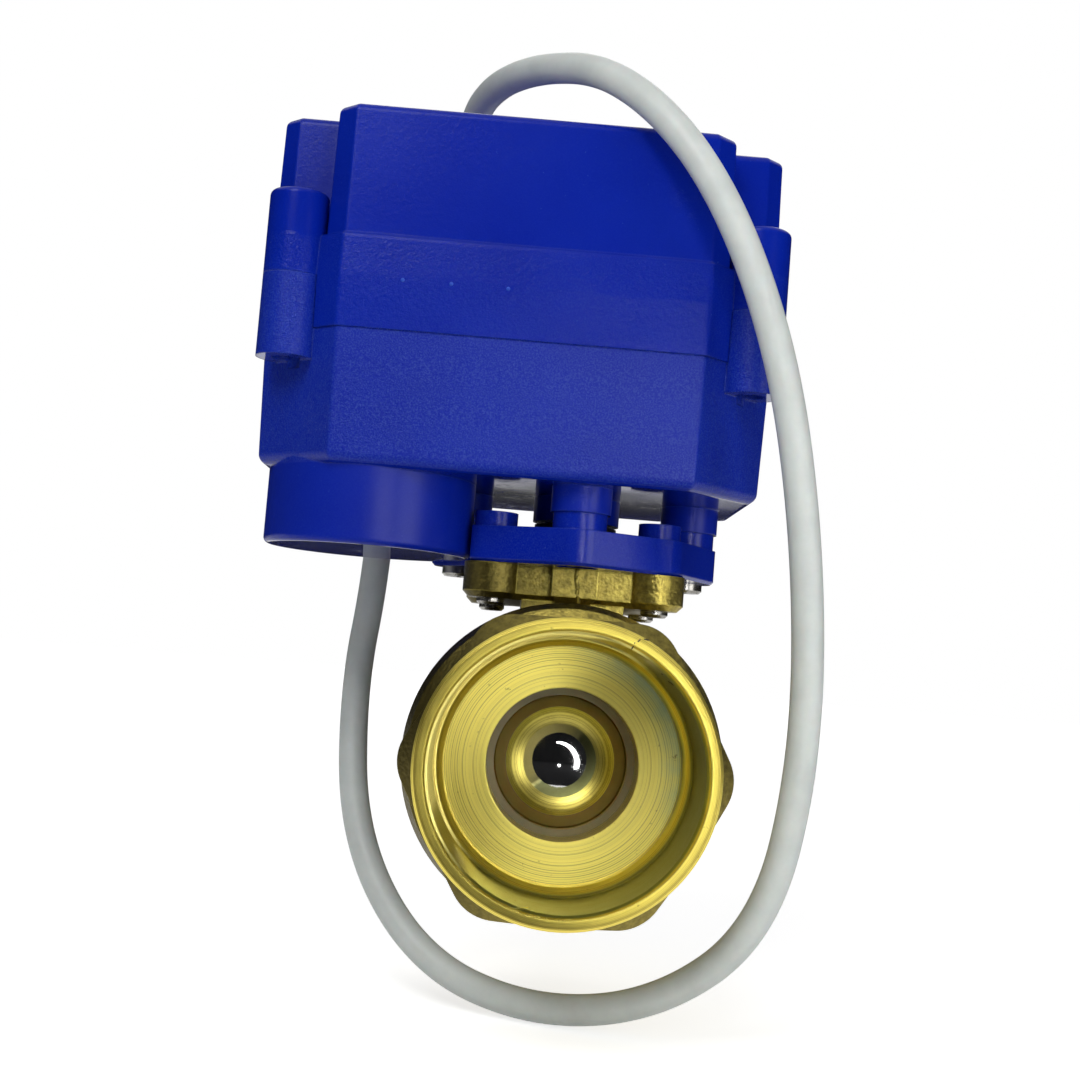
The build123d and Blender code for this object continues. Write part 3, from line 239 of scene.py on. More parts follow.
def mouldedPlastic(name, look):
    material, tree, shader, place = startMaterial(name)
    height = addNode(tree, "SeparateXYZ", {"Vector": place}).outputs["Z"]
    normal = roundedNormal(tree, look["edge"])
    pits = noiseOf(tree, place, look["grain"], 3.0, 0.62)
    fine = noiseOf(tree, place, look["grain"] * 0.35, 2.0, 0.6)
    grain = calc(tree, "ADD", calc(tree, "MULTIPLY", pits, 0.7), calc(tree, "MULTIPLY", fine, 0.3))
    # the spark finish ends at a level line
    amount, share = 1.0, look["smoothShare"]
    for level, low, high in ((look["smoothBelow"], share, 1.0), (look["smoothAbove"], 1.0, share)):
        if level is not None:
            ends = inMetres((level - look["fade"], level + look["fade"]))
            amount = rangeOf(tree, height, *ends, low, high)
    grain = calc(tree, "MULTIPLY", grain, amount)
    facing = addNode(tree, "SeparateXYZ", {"Vector": addNode(tree, "NewGeometry").outputs["Normal"]})
    under = rangeOf(tree, facing.outputs["Z"], -0.95, -0.8, 1.0, 0.0)
    left = calc(tree, "SUBTRACT", 1.0, calc(tree, "MULTIPLY", under, look["underSmooth"]))
    grain = calc(tree, "MULTIPLY", grain, left)
    relief = calc(tree, "ADD", grain, calc(tree, "MULTIPLY", noiseOf(tree, place, look["dents"], 1.0), 0.8))
    marks = scratchShare(tree, place, look["scratchSize"], (0.35, 1.0, 1.6), 0.012)
    relief = calc(tree, "SUBTRACT", relief, calc(tree, "MULTIPLY", marks, 0.25))
    shaped = bumpFrom(tree, relief, look["grainDepth"], normal)
    tree.links.new(shaped, shader.inputs["Normal"])

    clouds = noiseOf(tree, place, look["clouds"], 2.0, 0.5)
    colour = mixColours(tree, rangeOf(tree, clouds, 0.3, 0.7), look["deep"], look["colour"])
    wear = calc(tree, "MULTIPLY", edgeShare(tree, normal, 0.2), look["wear"])
    specks = rangeOf(tree, noiseOf(tree, place, look["speck"], 1.0), 0.76, 0.82, 0.0, look["speckShare"])
    light = calc(tree, "MAXIMUM", calc(tree, "MULTIPLY", marks, look["scratch"]), wear)
    light = calc(tree, "MAXIMUM", light, specks)
    # painted sparkle: pale rims round the spark pits, in place of light caught by the grain
    sheenRims = noiseOf(tree, place, look["grain"] * 0.33, 2.0, 0.6)
    sheenRims = calc(tree, "MULTIPLY", rangeOf(tree, sheenRims, 0.42, 0.70, 0.0, look["rimSheen"]), amount)
    colour = mixColours(tree, calc(tree, "ADD", light, sheenRims), colour, look["dustAndSheen"])
    tree.links.new(colour, shader.inputs["Base Color"])
    dull = calc(tree, "ADD", rangeOf(tree, clouds, 0.3, 0.7, -0.02, 0.02), look["rough"])
    dull = addNode(tree, "Mix", {0: under, 2: dull, 3: look["underRough"]}).outputs[0]
    tree.links.new(dull, shader.inputs["Roughness"])
    setShader(shader, specular=look["specular"])
    return material


turnedBrass = {
    "colour": (0.96, 0.80, 0.15),
    "deep": (0.74, 0.60, 0.11),
    "stain": (0.20, 0.12, 0.02),
    "stepGreen": (0.36, 0.50, 0.30),
    # painted light: a brighter colour for the step inside the socket, where the socket's walls shade it
    "shoulder": (1.0, 0.86, 0.20),
    # painted light and shade on the socket's wall: a lit colour for the upper left, a shaded colour for the
    # lower right
    "wallLit": (1.0, 0.88, 0.34),
    "wallShaded": (0.26, 0.28, 0.10),
    "forged": (0.70, 0.56, 0.12),
    # dark tone of the forging, also the colour of its painted shade on the left
    "forgedDarkAndShade": (0.075, 0.06, 0.016),
    "metal": 0.92,
    "streak": 0.8,
    "rough": 0.30,
    "forgedRough": 0.36,
    "wallRough": 0.12,     # how much rougher the socket's wall is
    "spotRough": 0.25,     # and the stained spots
    "edge": 0.25,          # mm
    "lines": 0.30,         # mm between tool marks
    "lineDepth": 0.022,    # mm
    "sand": 0.38,          # mm across one dimple of the forging
    "sandDepth": 0.075,    # mm
    "patch": 6.5,          # mm across one deeper patch of a turned face
    "spot": 0.9,           # mm across one stained spot
    "dish": 0.085,         # slope of the step inside the socket
    "flanks": 1.4,         # slope of the fine thread on the socket's wall
    # places in mm from the bore's axis
    "ring": 18.5,          # all inside it is turned
    "step": (10.0, 16.0),
    "stepEdge": (16.2, 15.9),
    "wall": ((16.3, 16.6), (17.0, 17.15)),   # fades in and out
    "greenPatch": ((12.0, 15.3), (15.7, 16.1)),    # greenish, on the step
    # places in mm from the ball, along the bore
    "collar": 35.0,        # the collar beyond it is turned
    "ends": (20.0, 24.0),  # the forging is duller beyond them
    # ways across the bore, in X and Z, and places in mm along them
    # the socket's wall is painted darker, as shade, towards the lower right along this way
    "shadedWay": (0.75, -0.6),
    "shadedSide": (-9.0, 1.0),
    "greenWay": (0.86, 0.5),
    "greenSide": (7.0, 14.0),
    # painted shade: the forging is darker towards -X, between these places
    "shadedLeft": (-14.0, 8.0),    # along X
}


def brassFinish(name, look):
    material, tree, shader, place = startMaterial(name)
    parts = addNode(tree, "SeparateXYZ", {"Vector": place})
    x, y, z = (parts.outputs[k] for k in "XYZ")
    reach = calc(tree, "SQRT", calc(tree, "ADD", calc(tree, "MULTIPLY", x, x), calc(tree, "MULTIPLY", z, z)))
    along = calc(tree, "ABSOLUTE", y)
    inside = rangeOf(tree, reach, (look["ring"] - 0.05) * mm, (look["ring"] + 0.05) * mm, 1.0, 0.0)
    collar = rangeOf(tree, along, (look["collar"] - 0.02) * mm, look["collar"] * mm)
    turned = calc(tree, "MAXIMUM", inside, collar)

    # tool marks run round the bore, so they depend on radius and depth only
    bore = addNode(tree, "CombineXYZ", {"X": reach, "Y": y}).outputs[0]
    marks = noiseOf(tree, bore, look["lines"], 3.0, 0.75)
    wide = noiseOf(tree, bore, look["lines"] * 7, 2.0, 0.6)
    marks = calc(tree, "ADD", calc(tree, "MULTIPLY", marks, 0.75), calc(tree, "MULTIPLY", wide, 0.55))
    furrows = rangeOf(tree, noiseOf(tree, bore, look["lines"] * 0.8, 2.0, 0.7), 0.36, 0.5, 0.8, 0.0)

    # dimples of the forging
    sand = addNode(tree, "TexVoronoi", {"Vector": place, "Scale": 1 / (look["sand"] * mm), "Randomness": 1.0},
                   feature="SMOOTH_F1").outputs["Distance"]
    rough = noiseOf(tree, place, look["sand"] * 2.5, 4.0, 0.65)
    sand = calc(tree, "ADD", calc(tree, "MULTIPLY", sand, 0.6), calc(tree, "MULTIPLY", rough, 0.9))

    # the step is a little dished, and the brighter part of the wall has a fine thread
    normal = roundedNormal(tree, look["edge"])
    stepLow, stepHigh = inMetres(look["step"])
    onStep = calc(tree, "MINIMUM", calc(tree, "MAXIMUM", reach, stepLow), stepHigh)
    normal = bumpFrom(tree, calc(tree, "DIVIDE", onStep, mm), look["dish"], normal)
    wall = bandOf(tree, reach, *look["wall"])
    # painted shade: share of the wall on its shaded lower right side
    shadedSide = rangeOf(tree, leaningPlace(tree, x, z, look["shadedWay"]), *inMetres(look["shadedSide"]))
    flank = bumpFrom(tree, calc(tree, "DIVIDE", y, mm), look["flanks"], normal)
    threaded = calc(tree, "MULTIPLY", wall, calc(tree, "SUBTRACT", 1.0, shadedSide))
    normal = mixColours(tree, threaded, normal, flank)
    normalTurned = bumpFrom(tree, calc(tree, "MULTIPLY", marks, turned), look["lineDepth"], normal)
    cast = calc(tree, "MULTIPLY", sand, calc(tree, "SUBTRACT", 1.0, turned))
    shaped = bumpFrom(tree, cast, look["sandDepth"], normalTurned)
    tree.links.new(shaped, shader.inputs["Normal"])

    turnedColour = mixColours(tree, rangeOf(tree, marks, 0.45, 0.85), look["deep"], look["colour"])
    patches = rangeOf(tree, noiseOf(tree, place, look["patch"], 2.0, 0.5), 0.5, 0.75, 0.0, 0.45)
    turnedColour = mixColours(tree, patches, turnedColour, look["deep"])
    # painted light: the step at the socket's end is painted brighter, and its wall is painted lighter on the
    # upper left and darker on the lower right, as light and shade
    step = calc(tree, "MULTIPLY", rangeOf(tree, reach, *inMetres(look["stepEdge"])), inside)
    turnedColour = mixColours(tree, calc(tree, "MULTIPLY", step, 0.8), turnedColour, look["shoulder"])
    # painted light and shade: the wall lit on the upper left and shaded on the lower right
    wallColour = mixColours(tree, shadedSide, look["wallLit"], look["wallShaded"])
    turnedColour = mixColours(tree, wall, turnedColour, wallColour)
    turnedColour = mixColours(tree, furrows, turnedColour, look["stain"])
    # greenish and darker on the upper right of the step inside the socket
    greenSide = rangeOf(tree, leaningPlace(tree, x, z, look["greenWay"]), *inMetres(look["greenSide"]))
    greenPatch = calc(tree, "MULTIPLY", greenSide, bandOf(tree, reach, *look["greenPatch"]))
    greenPatch = calc(tree, "MULTIPLY", greenPatch, rangeOf(tree, noiseOf(tree, place, 3.4, 3.0), 0.3, 0.6, 0.35, 0.8))
    turnedColour = mixColours(tree, greenPatch, turnedColour, look["stepGreen"])

    # painted shade: the forging is darker on its left side; it is also darker near its ends
    forgedColour = mixColours(tree, rangeOf(tree, rough, 0.18, 0.80), look["forgedDarkAndShade"], look["forged"])
    shadedLeft = rangeOf(tree, x, *inMetres(look["shadedLeft"]), 0.95, 0.0)
    ends = rangeOf(tree, along, *inMetres(look["ends"]), 0.0, 0.6)
    forgedColour = mixColours(tree, calc(tree, "MAXIMUM", shadedLeft, ends), forgedColour, look["forgedDarkAndShade"])

    colour = mixColours(tree, turned, forgedColour, turnedColour)
    edges = calc(tree, "MULTIPLY", edgeShare(tree, normal, 0.3), 0.5)
    colour = mixColours(tree, edges, colour, look["colour"])
    spots = rangeOf(tree, noiseOf(tree, place, look["spot"], 3.0, 0.6), 0.68, 0.78, 0.0, 0.75)
    colour = mixColours(tree, spots, colour, look["stain"])
    tree.links.new(colour, shader.inputs["Base Color"])
    dull = addNode(tree, "Mix", {0: turned, 2: look["forgedRough"], 3: look["rough"]}).outputs[0]
    waver = noiseOf(tree, place, 2.2, 3.0, 0.6)
    dull = calc(tree, "ADD", dull, rangeOf(tree, waver, 0.3, 0.7, -0.02, 0.03))
    dull = calc(tree, "ADD", dull, calc(tree, "MULTIPLY", spots, look["spotRough"]))
    dull = calc(tree, "ADD", dull, calc(tree, "MULTIPLY", wall, look["wallRough"]))
    tree.links.new(dull, shader.inputs["Roughness"])
    tangent = addNode(tree, "Tangent", direction_type="RADIAL", axis="Y").outputs[0]
    tree.links.new(tangent, shader.inputs["Tangent"])
    setShader(shader, metal=look["metal"], streak=look["streak"])
    return material


# grain is the width of one mark and depth is its relief, in mm

plainMetals = {
    "zinc": {"colour": (0.50, 0.49, 0.46), "deep": (0.20, 0.19, 0.17),
             "rough": 0.26, "grain": 0.25, "depth": 0.012},
    "sheetSteel": {"colour": (0.60, 0.61, 0.62), "deep": (0.42, 0.43, 0.45),
                   "rough": 0.34, "grain": 0.5, "depth": 0.01},
    "gearBrass": {"colour": (0.80, 0.62, 0.22), "deep": (0.50, 0.36, 0.12),
                  "rough": 0.32, "grain": 0.3, "depth": 0.012},
    "tin": {"colour": (0.72, 0.70, 0.66), "deep": (0.46, 0.36, 0.28),
            "rough": 0.36, "grain": 0.2, "depth": 0.01},
    "chrome": {"colour": (0.72, 0.72, 0.71), "deep": (0.60, 0.60, 0.60),
               "rough": 0.04, "grain": 0.8, "depth": 0.0008},
}


def plainMetal(name, look, edge=0.12):
    material, tree, shader, place = startMaterial(name)
    normal = roundedNormal(tree, edge)
    grain = noiseOf(tree, place, look["grain"], 4.0, 0.6, (1.0, 1.0, 0.35))
    marks = scratchShare(tree, place, 1.2, (1.0, 0.3, 1.4), 0.016)
    relief = calc(tree, "SUBTRACT", grain, calc(tree, "MULTIPLY", marks, 0.5))
    tree.links.new(bumpFrom(tree, relief, look["depth"], normal), shader.inputs["Normal"])
    patches = noiseOf(tree, place, 3.5, 4.0, 0.65)
    colour = mixColours(tree, rangeOf(tree, patches, 0.3, 0.7), look["deep"], look["colour"])
    colour = mixColours(tree, calc(tree, "MULTIPLY", edgeShare(tree, normal), 0.5), colour, look["colour"])
    tree.links.new(colour, shader.inputs["Base Color"])
    dull = calc(tree, "ADD", rangeOf(tree, patches, 0.3, 0.7, -0.03, 0.05), look["rough"])
    dull = calc(tree, "ADD", dull, calc(tree, "MULTIPLY", marks, 0.3 * look["rough"]))
    tree.links.new(dull, shader.inputs["Roughness"])
    setShader(shader, metal=1.0)
    return material


softPlastics = {
    "seat": {"colour": (0.27, 0.235, 0.14), "deep": (0.17, 0.145, 0.085),
             "rough": 0.42, "grain": 0.6, "depth": 0.01, "soft": 0.25},
    "sheath": {"colour": (0.66, 0.70, 0.675), "deep": (0.56, 0.60, 0.58),
               "rough": 0.44, "grain": 1.4, "depth": 0.02, "soft": 0.12},
    "black": {"colour": (0.018, 0.018, 0.019), "deep": (0.009, 0.009, 0.010),
              "rough": 0.42, "grain": 0.4, "depth": 0.02, "soft": 0.0},
    "nick": {"colour": (0.030, 0.022, 0.006), "deep": (0.012, 0.009, 0.003),
             "rough": 0.55, "grain": 0.2, "depth": 0.01, "soft": 0.0},
    "rubber": {"colour": (0.022, 0.022, 0.022), "deep": (0.012, 0.012, 0.012),
               "rough": 0.58, "grain": 0.3, "depth": 0.015, "soft": 0.0},
    "gearWhite": {"colour": (0.78, 0.76, 0.70), "deep": (0.66, 0.63, 0.56),
                  "rough": 0.40, "grain": 0.7, "depth": 0.01, "soft": 0.15},
    "red": {"colour": (0.50, 0.02, 0.015), "deep": (0.36, 0.012, 0.01),
            "rough": 0.38, "grain": 0.5, "depth": 0.01, "soft": 0.05},
    "green": {"colour": (0.02, 0.24, 0.05), "deep": (0.012, 0.16, 0.035),
              "rough": 0.38, "grain": 0.5, "depth": 0.01, "soft": 0.05},
    "terminal": {"colour": (0.02, 0.28, 0.10), "deep": (0.015, 0.20, 0.07),
                 "rough": 0.40, "grain": 0.5, "depth": 0.015, "soft": 0.05},
    "board": {"colour": (0.012, 0.13, 0.045), "deep": (0.008, 0.085, 0.03),
              "rough": 0.30, "grain": 0.9, "depth": 0.008, "soft": 0.0},
}

warmBore = {
    "colour": (0.46, 0.33, 0.07),
    "starts": (13.95, 13.85),  # mm from the ball, all nearer is yellowed
}


def softPlastic(name, look, edge=0.15, bore=None):
    material, tree, shader, place = startMaterial(name)
    normal = roundedNormal(tree, edge)
    grain = noiseOf(tree, place, look["grain"], 4.0, 0.6)
    tree.links.new(bumpFrom(tree, grain, look["depth"], normal), shader.inputs["Normal"])
    clouds = noiseOf(tree, place, 7.0, 4.0, 0.65)
    colour = mixColours(tree, rangeOf(tree, clouds, 0.3, 0.7), look["deep"], look["colour"])
    if bore:
        # brass dust has yellowed the seat's bore
        y = addNode(tree, "SeparateXYZ", {"Vector": place}).outputs["Y"]
        inward = rangeOf(tree, calc(tree, "ABSOLUTE", y), *inMetres(bore["starts"]))
        colour = mixColours(tree, inward, colour, bore["colour"])
    tree.links.new(colour, shader.inputs["Base Color"])
    dull = calc(tree, "ADD", rangeOf(tree, clouds, 0.3, 0.7, -0.04, 0.06), look["rough"])
    tree.links.new(dull, shader.inputs["Roughness"])
    setShader(shader, soft=look["soft"], softReach=0.002)
    return material


finishes = {
    "lowerBlue": mouldedPlastic("lowerBlue", lowerBlue),
    "coverBlue": mouldedPlastic("coverBlue", coverBlue),
    "plateBlue": mouldedPlastic("plateBlue", plateBlue),
    "paleBlue": mouldedPlastic("paleBlue", paleBlue),
    "bodyBrass": brassFinish("bodyBrass", turnedBrass),
    "zincScrews": plainMetal("zincScrews", plainMetals["zinc"]),
    "sheetSteel": plainMetal("sheetSteel", plainMetals["sheetSteel"]),
    "gearBrass": plainMetal("gearBrass", plainMetals["gearBrass"]),
    "tinnedWire": plainMetal("tinnedWire", plainMetals["tin"], edge=0.03),
    "ballChrome": plainMetal("ballChrome", plainMetals["chrome"]),
    "seatGrey": softPlastic("seatGrey", softPlastics["seat"], bore=warmBore),
    "cableSheath": softPlastic("cableSheath", softPlastics["sheath"]),
    "blackPlastic": softPlastic("blackPlastic", softPlastics["black"]),
    "sealRubber": softPlastic("sealRubber", softPlastics["rubber"]),
    "darkNick": softPlastic("darkNick", softPlastics["nick"], edge=0.03),
    "gearWhite": softPlastic("gearWhite", softPlastics["gearWhite"]),
    "redInsulation": softPlastic("redInsulation", softPlastics["red"], edge=0.05),
    "blackInsulation": softPlastic("blackInsulation", softPlastics["black"], edge=0.05),
    "greenInsulation": softPlastic("greenInsulation", softPlastics["green"], edge=0.05),
    "terminalGreen": softPlastic("terminalGreen", softPlastics["terminal"]),
    "boardGreen": softPlastic("boardGreen", softPlastics["board"]),
}

nodeFinishes = {
    "lowerBlue": ["lower_housing"],
    "coverBlue": ["top_cover"],
    "plateBlue": ["mounting_plate"],
    "bodyBrass": ["valve_body", "end_connector"],
    "ballChrome": ["ball"],
    "gearBrass": ["stem", "motor_pinion", "output_bush", "board_spacers"],
    "seatGrey": ["front_seat", "rear_seat", "thrust_washer"],
    "sealRubber": ["body_o_ring", "stem_o_rings", "cover_seal"],
    "zincScrews": ["flange_screws", "pillar_screws", "cover_screws", "motor_screws", "gear_plate_screws"],
    "sheetSteel": ["motor_can", "lower_gear_plate", "upper_gear_plate", "gear_plate_posts", "first_axle",
                   "second_axle", "output_shaft", "closed_switch_lever", "open_switch_lever"],
    "gearWhite": ["first_gear", "second_gear", "output_gear"],
    "blackPlastic": ["drive_coupling", "motor_cap", "limit_cam", "closed_switch", "open_switch",
                     "board_parts"],
    "boardGreen": ["circuit_board"],
    "terminalGreen": ["terminal_block"],
    "redInsulation": ["inner_leads"],
    "cableSheath": ["cable_gland"],
}


def dressNodes():
    for finish, names in nodeFinishes.items():
        for name in names:
            data = nodes[name].data
            data.materials.clear()
            data.materials.append(finishes[finish])


dressNodes()
print("finishes given to the solids")


# cable, with its three conductors and their strands

cableSettings = {
    "diameter": 4.2,   # mm
    "length": 332.5,
    "route": [         # from the gland, down and up round the front, to the free end
        (-29.5, 16.0, 33.4), (-29.5, 16.0, 24.5), (-31.2, 13.5, 7.0), (-28.6, 5.5, -14.5),
        (-17.5, -3.0, -29.5), (-1.5, -10.0, -34.2), (15.0, -16.5, -30.8), (27.5, -22.8, -19.0),
        (30.8, -26.5, 3.5), (28.8, -29.2, 30.0), (23.2, -31.2, 56.0), (12.6, -33.4, 77.5),
        (0.0, -25.6, 91.8), (-11.5, -10.0, 97.0), (-19.0, 6.0, 98.0), (-21.5, 22.5, 95.0),
        (-23.0, 34.0, 80.5), (-22.0, 33.5, 62.0),
    ],
}


def smoothLine(name, route, radius, finish):
    data = bpy.data.curves.new(name, "CURVE")
    data.dimensions = "3D"
    data.resolution_u = 24
    data.bevel_depth = radius * mm
    data.bevel_resolution = 7
    data.use_fill_caps = True
    spline = data.splines.new("NURBS")
    spline.points.add(len(route) - 1)
    for point, place in zip(spline.points, route):
        point.co = (*(Vector(place) * mm), 1)
    spline.order_u = 3
    spline.use_endpoint_u = True
    data.materials.append(finishes[finish])
    line = bpy.data.objects.new(name, data)
    bpy.context.scene.collection.objects.link(line)
    return line


conductorSettings = {      # lengths in mm
    "radius": 0.6,
    "sleeve": 8.0,         # length that shows
    "bare": 4.0,           # length of the stripped end
    "hidden": 0.6,         # length that stays in the sheath
    "offset": 0.95,        # from the cable's axis
    "bow": 0.25,           # sideways bend half way along the sleeve
    "spread": 0.288,       # slope away from the cable's axis
    "strands": 7,
    "strandRadius": 0.13,
    "strandGap": 1.9,      # middle to middle, in strand radii
    "strandSteps": 12,
    "tuck": 0.3,           # length that stays in the sleeve
    "twists": 1.2,
    "fan": 0.5,            # how far the strands open towards their ends
    "uneven": 0.12,        # difference between their lengths
    "finishes": [("conductor_red", "redInsulation"), ("conductor_black", "blackInsulation"),
                 ("conductor_green", "greenInsulation")],
}


def sweepRing(bm, points, radius, sides=8):
    # tube through a list of points, capped at both ends
    rings = []
    for index, point in enumerate(points):
        ahead = points[min(index + 1, len(points) - 1)] - points[max(index - 1, 0)]
        turn = ahead.to_track_quat("Z", "Y")
        ring = [bm.verts.new(point + turn @ Vector((math.cos(a) * radius, math.sin(a) * radius, 0)))
                for a in (2 * math.pi * i / sides for i in range(sides))]
        rings.append(ring)
    for low, high in zip(rings, rings[1:]):
        for i in range(sides):
            bm.faces.new((low[i], low[(i + 1) % sides], high[(i + 1) % sides], high[i]))
    bm.faces.new(list(reversed(rings[0])))
    bm.faces.new(rings[-1])


def meshPiece(name, bm, finish):
    bmesh.ops.recalc_face_normals(bm, faces=bm.faces)
    data = bpy.data.meshes.new(name)
    bm.to_mesh(data)
    bm.free()
    for face in data.polygons:
        face.use_smooth = True
    data.materials.append(finishes[finish])
    piece = bpy.data.objects.new(name, data)
    bpy.context.scene.collection.objects.link(piece)
    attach(piece, "valve")
    return piece


def strandPoints(wires, strand, tip, out):
    turn = out.to_track_quat("Z", "Y")
    ringRadius = 0.0 if strand == 0 else wires["strandRadius"] * wires["strandGap"]
    length = wires["bare"] - wires["uneven"] * (strand % 3)
    points = []
    for step in range(wires["strandSteps"] + 1):
        share = step / wires["strandSteps"]
        twist = 2 * math.pi * (strand / (wires["strands"] - 1) + wires["twists"] * share)
        fan = ringRadius * (1 + wires["fan"] * share * share)
        around = turn @ Vector((math.cos(twist) * fan, math.sin(twist) * fan, 0))
        points.append((tip + out * (share * length - wires["tuck"]) + around) * mm)
    return points


def makeCable(settings, wires):
    cable = smoothLine("cableSheath", settings["route"], settings["diameter"] / 2, "cableSheath")
    end, before = (Vector(p) for p in (settings["route"][-1], settings["route"][-2]))
    along = (end - before).normalized()
    turn = along.to_track_quat("Z", "Y")
    extras = []
    strands = bmesh.new()
    for index, (node, finish) in enumerate(wires["finishes"]):
        angle = 2 * math.pi * index / len(wires["finishes"])
        side = turn @ Vector((math.cos(angle), math.sin(angle), 0))
        start = end + side * wires["offset"] - along * wires["hidden"]
        middle = start + along * (wires["hidden"] + wires["sleeve"] * 0.5) + side * wires["bow"]
        tip = middle + (along + side * wires["spread"]).normalized() * wires["sleeve"] * 0.5
        wire = smoothLine(node.replace("_", "") + "Wire", [start, middle, tip], wires["radius"], finish)
        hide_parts(node)
        extras.append(wire)
        for strand in range(wires["strands"]):
            points = strandPoints(wires, strand, tip, (tip - middle).normalized())
            sweepRing(strands, points, wires["strandRadius"] * mm)
    bare = meshPiece("conductorStrands", strands, "tinnedWire")
    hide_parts("conductor_tips")
    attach(cable, "valve")
    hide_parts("cable")
    for wire, slot in zip(extras, ("red_insulation", "black_insulation", "green_insulation")):
        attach(wire, "valve")


makeCable(cableSettings, conductorSettings)
print("cable and conductors made")


# small marks of making and handling

forgingSeam = {
    "radius": 0.30,   # mm
    "wander": 0.06,   # mm to either side
    "lines": [        # down the flange's front, the neck and the flange's rear
        [(0.2, -14.8, 26.1), (0.05, -14.85, 25.0), (0.35, -14.85, 23.8), (0.5, -14.8, 22.4),
         (0.75, -14.4, 21.5)],
        [(0.75, -12.6, 21.3), (0.6, -12.62, 20.4), (0.3, -12.6, 19.6), (0.2, -12.7, 19.0)],
        [(0.2, 14.8, 26.1), (0.4, 14.85, 24.6), (0.1, 14.85, 23.0), (0.3, 14.4, 21.5)],
    ],
}

socketBurrs = {
    "radius": 17.27,        # mm, the mouth's edge
    "face": -38.96,         # mm, where the mouth's face lies
    "arcs": [(197, 214, 9), (222, 262, 26), (264, 276, 5)],  # degrees from +X, and how many
    "length": (0.25, 1.1),
    "thickness": (0.03, 0.075),
    "lift": (-0.15, 0.2),   # how far a burr's end leaves the edge
    "sink": 0.05,           # how deep its root lies in the edge
    "inward": 0.04,         # how far it leans into the mouth at each step
    "steps": 4,
    "sliverRadius": 0.06,
    "slivers": [((-6.3, -38.93, -16.12), (-4.9, -38.9, -16.25), (-3.4, -38.93, -16.02)),
                ((-17.25, -38.95, -3.3), (-17.2, -38.9, -3.9), (-17.05, -38.93, -4.4)),
                ((-16.4, -38.3, -4.9), (-16.35, -38.4, -5.5), (-16.15, -38.5, -5.9))],
}

nicks = {
    "thickness": 0.085,   # mm from a nick's middle
    "lines": [  # on the collar's face and on the socket's wall
        ((6.85, -38.99, 16.3), (6.7, -38.8, 15.8), (6.55, -38.4, 15.45)),
        ((7.9, -38.99, 16.8), (8.25, -38.99, 16.75), (8.5, -38.99, 16.72)),
        ((7.2, -38.99, 16.4), (7.5, -38.99, 16.75)),
        ((12.15, -36.2, 11.6), (11.9, -35.0, 11.85), (11.75, -33.8, 12.0)),
        ((10.9, -34.6, 12.78), (10.8, -34.2, 12.86)),
    ],
}

coverPips = {
    "radius": 0.30,   # mm
    "height": 0.09,
    "places": [(-26.0, 61.5), (-19.6, 61.5), (-12.1, 61.5)],
}


def alongPoints(places, steps=6):
    # points along straight runs between a few places
    points = []
    for a, b in zip(places, places[1:]):
        points += [Vector(a).lerp(Vector(b), i / steps) * mm for i in range(steps)]
    return points + [Vector(places[-1]) * mm]


def makeSeam(settings):
    bm = bmesh.new()
    draw = random.Random(5)
    for line in settings["lines"]:
        points = [point + Vector((draw.uniform(-1, 1), 0, 0)) * settings["wander"] * mm
                  for point in alongPoints(line)]
        sweepRing(bm, points, settings["radius"] * mm, 10)
    meshPiece("forgingSeam", bm, "bodyBrass")


def makeBurrs(settings):
    bm = bmesh.new()
    draw = random.Random(11)
    for start, end, count in settings["arcs"]:
        for _ in range(count):
            angle = math.radians(draw.uniform(start, end))
            sweep = draw.uniform(*settings["length"]) / settings["radius"]
            lift = draw.uniform(*settings["lift"])
            points = []
            for i in range(settings["steps"] + 1):
                turn = angle + sweep * i / settings["steps"]
                reach = settings["radius"] - settings["sink"] + lift * i / settings["steps"]
                depth = settings["face"] + settings["inward"] * i * abs(lift)
                points.append(Vector((reach * math.cos(turn), depth, reach * math.sin(turn))) * mm)
            sweepRing(bm, points, draw.uniform(*settings["thickness"]) * mm, 5)
    for line in settings["slivers"]:
        sweepRing(bm, alongPoints(line, 3), settings["sliverRadius"] * mm, 5)
    meshPiece("socketBurrs", bm, "bodyBrass")


def makeNicks(settings):
    bm = bmesh.new()
    for line in settings["lines"]:
        sweepRing(bm, alongPoints(line, 3), settings["thickness"] * mm, 6)
    meshPiece("socketNicks", bm, "darkNick")


def makePips(settings):
    bm = bmesh.new()
    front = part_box("top_cover")[0][1]
    for x, z in settings["places"]:
        made = bmesh.ops.create_uvsphere(bm, u_segments=16, v_segments=8, radius=settings["radius"] * mm)
        for vert in made["verts"]:
            vert.co.y *= settings["height"] / settings["radius"]
            vert.co += Vector((x * mm, front + settings["height"] * 0.5 * mm, z * mm))
    meshPiece("coverPips", bm, "paleBlue")


makeSeam(forgingSeam)
makeBurrs(socketBurrs)
makeNicks(nicks)
makePips(coverPips)
print("seam, burrs, nicks and pips made")


# floor, backdrop and light

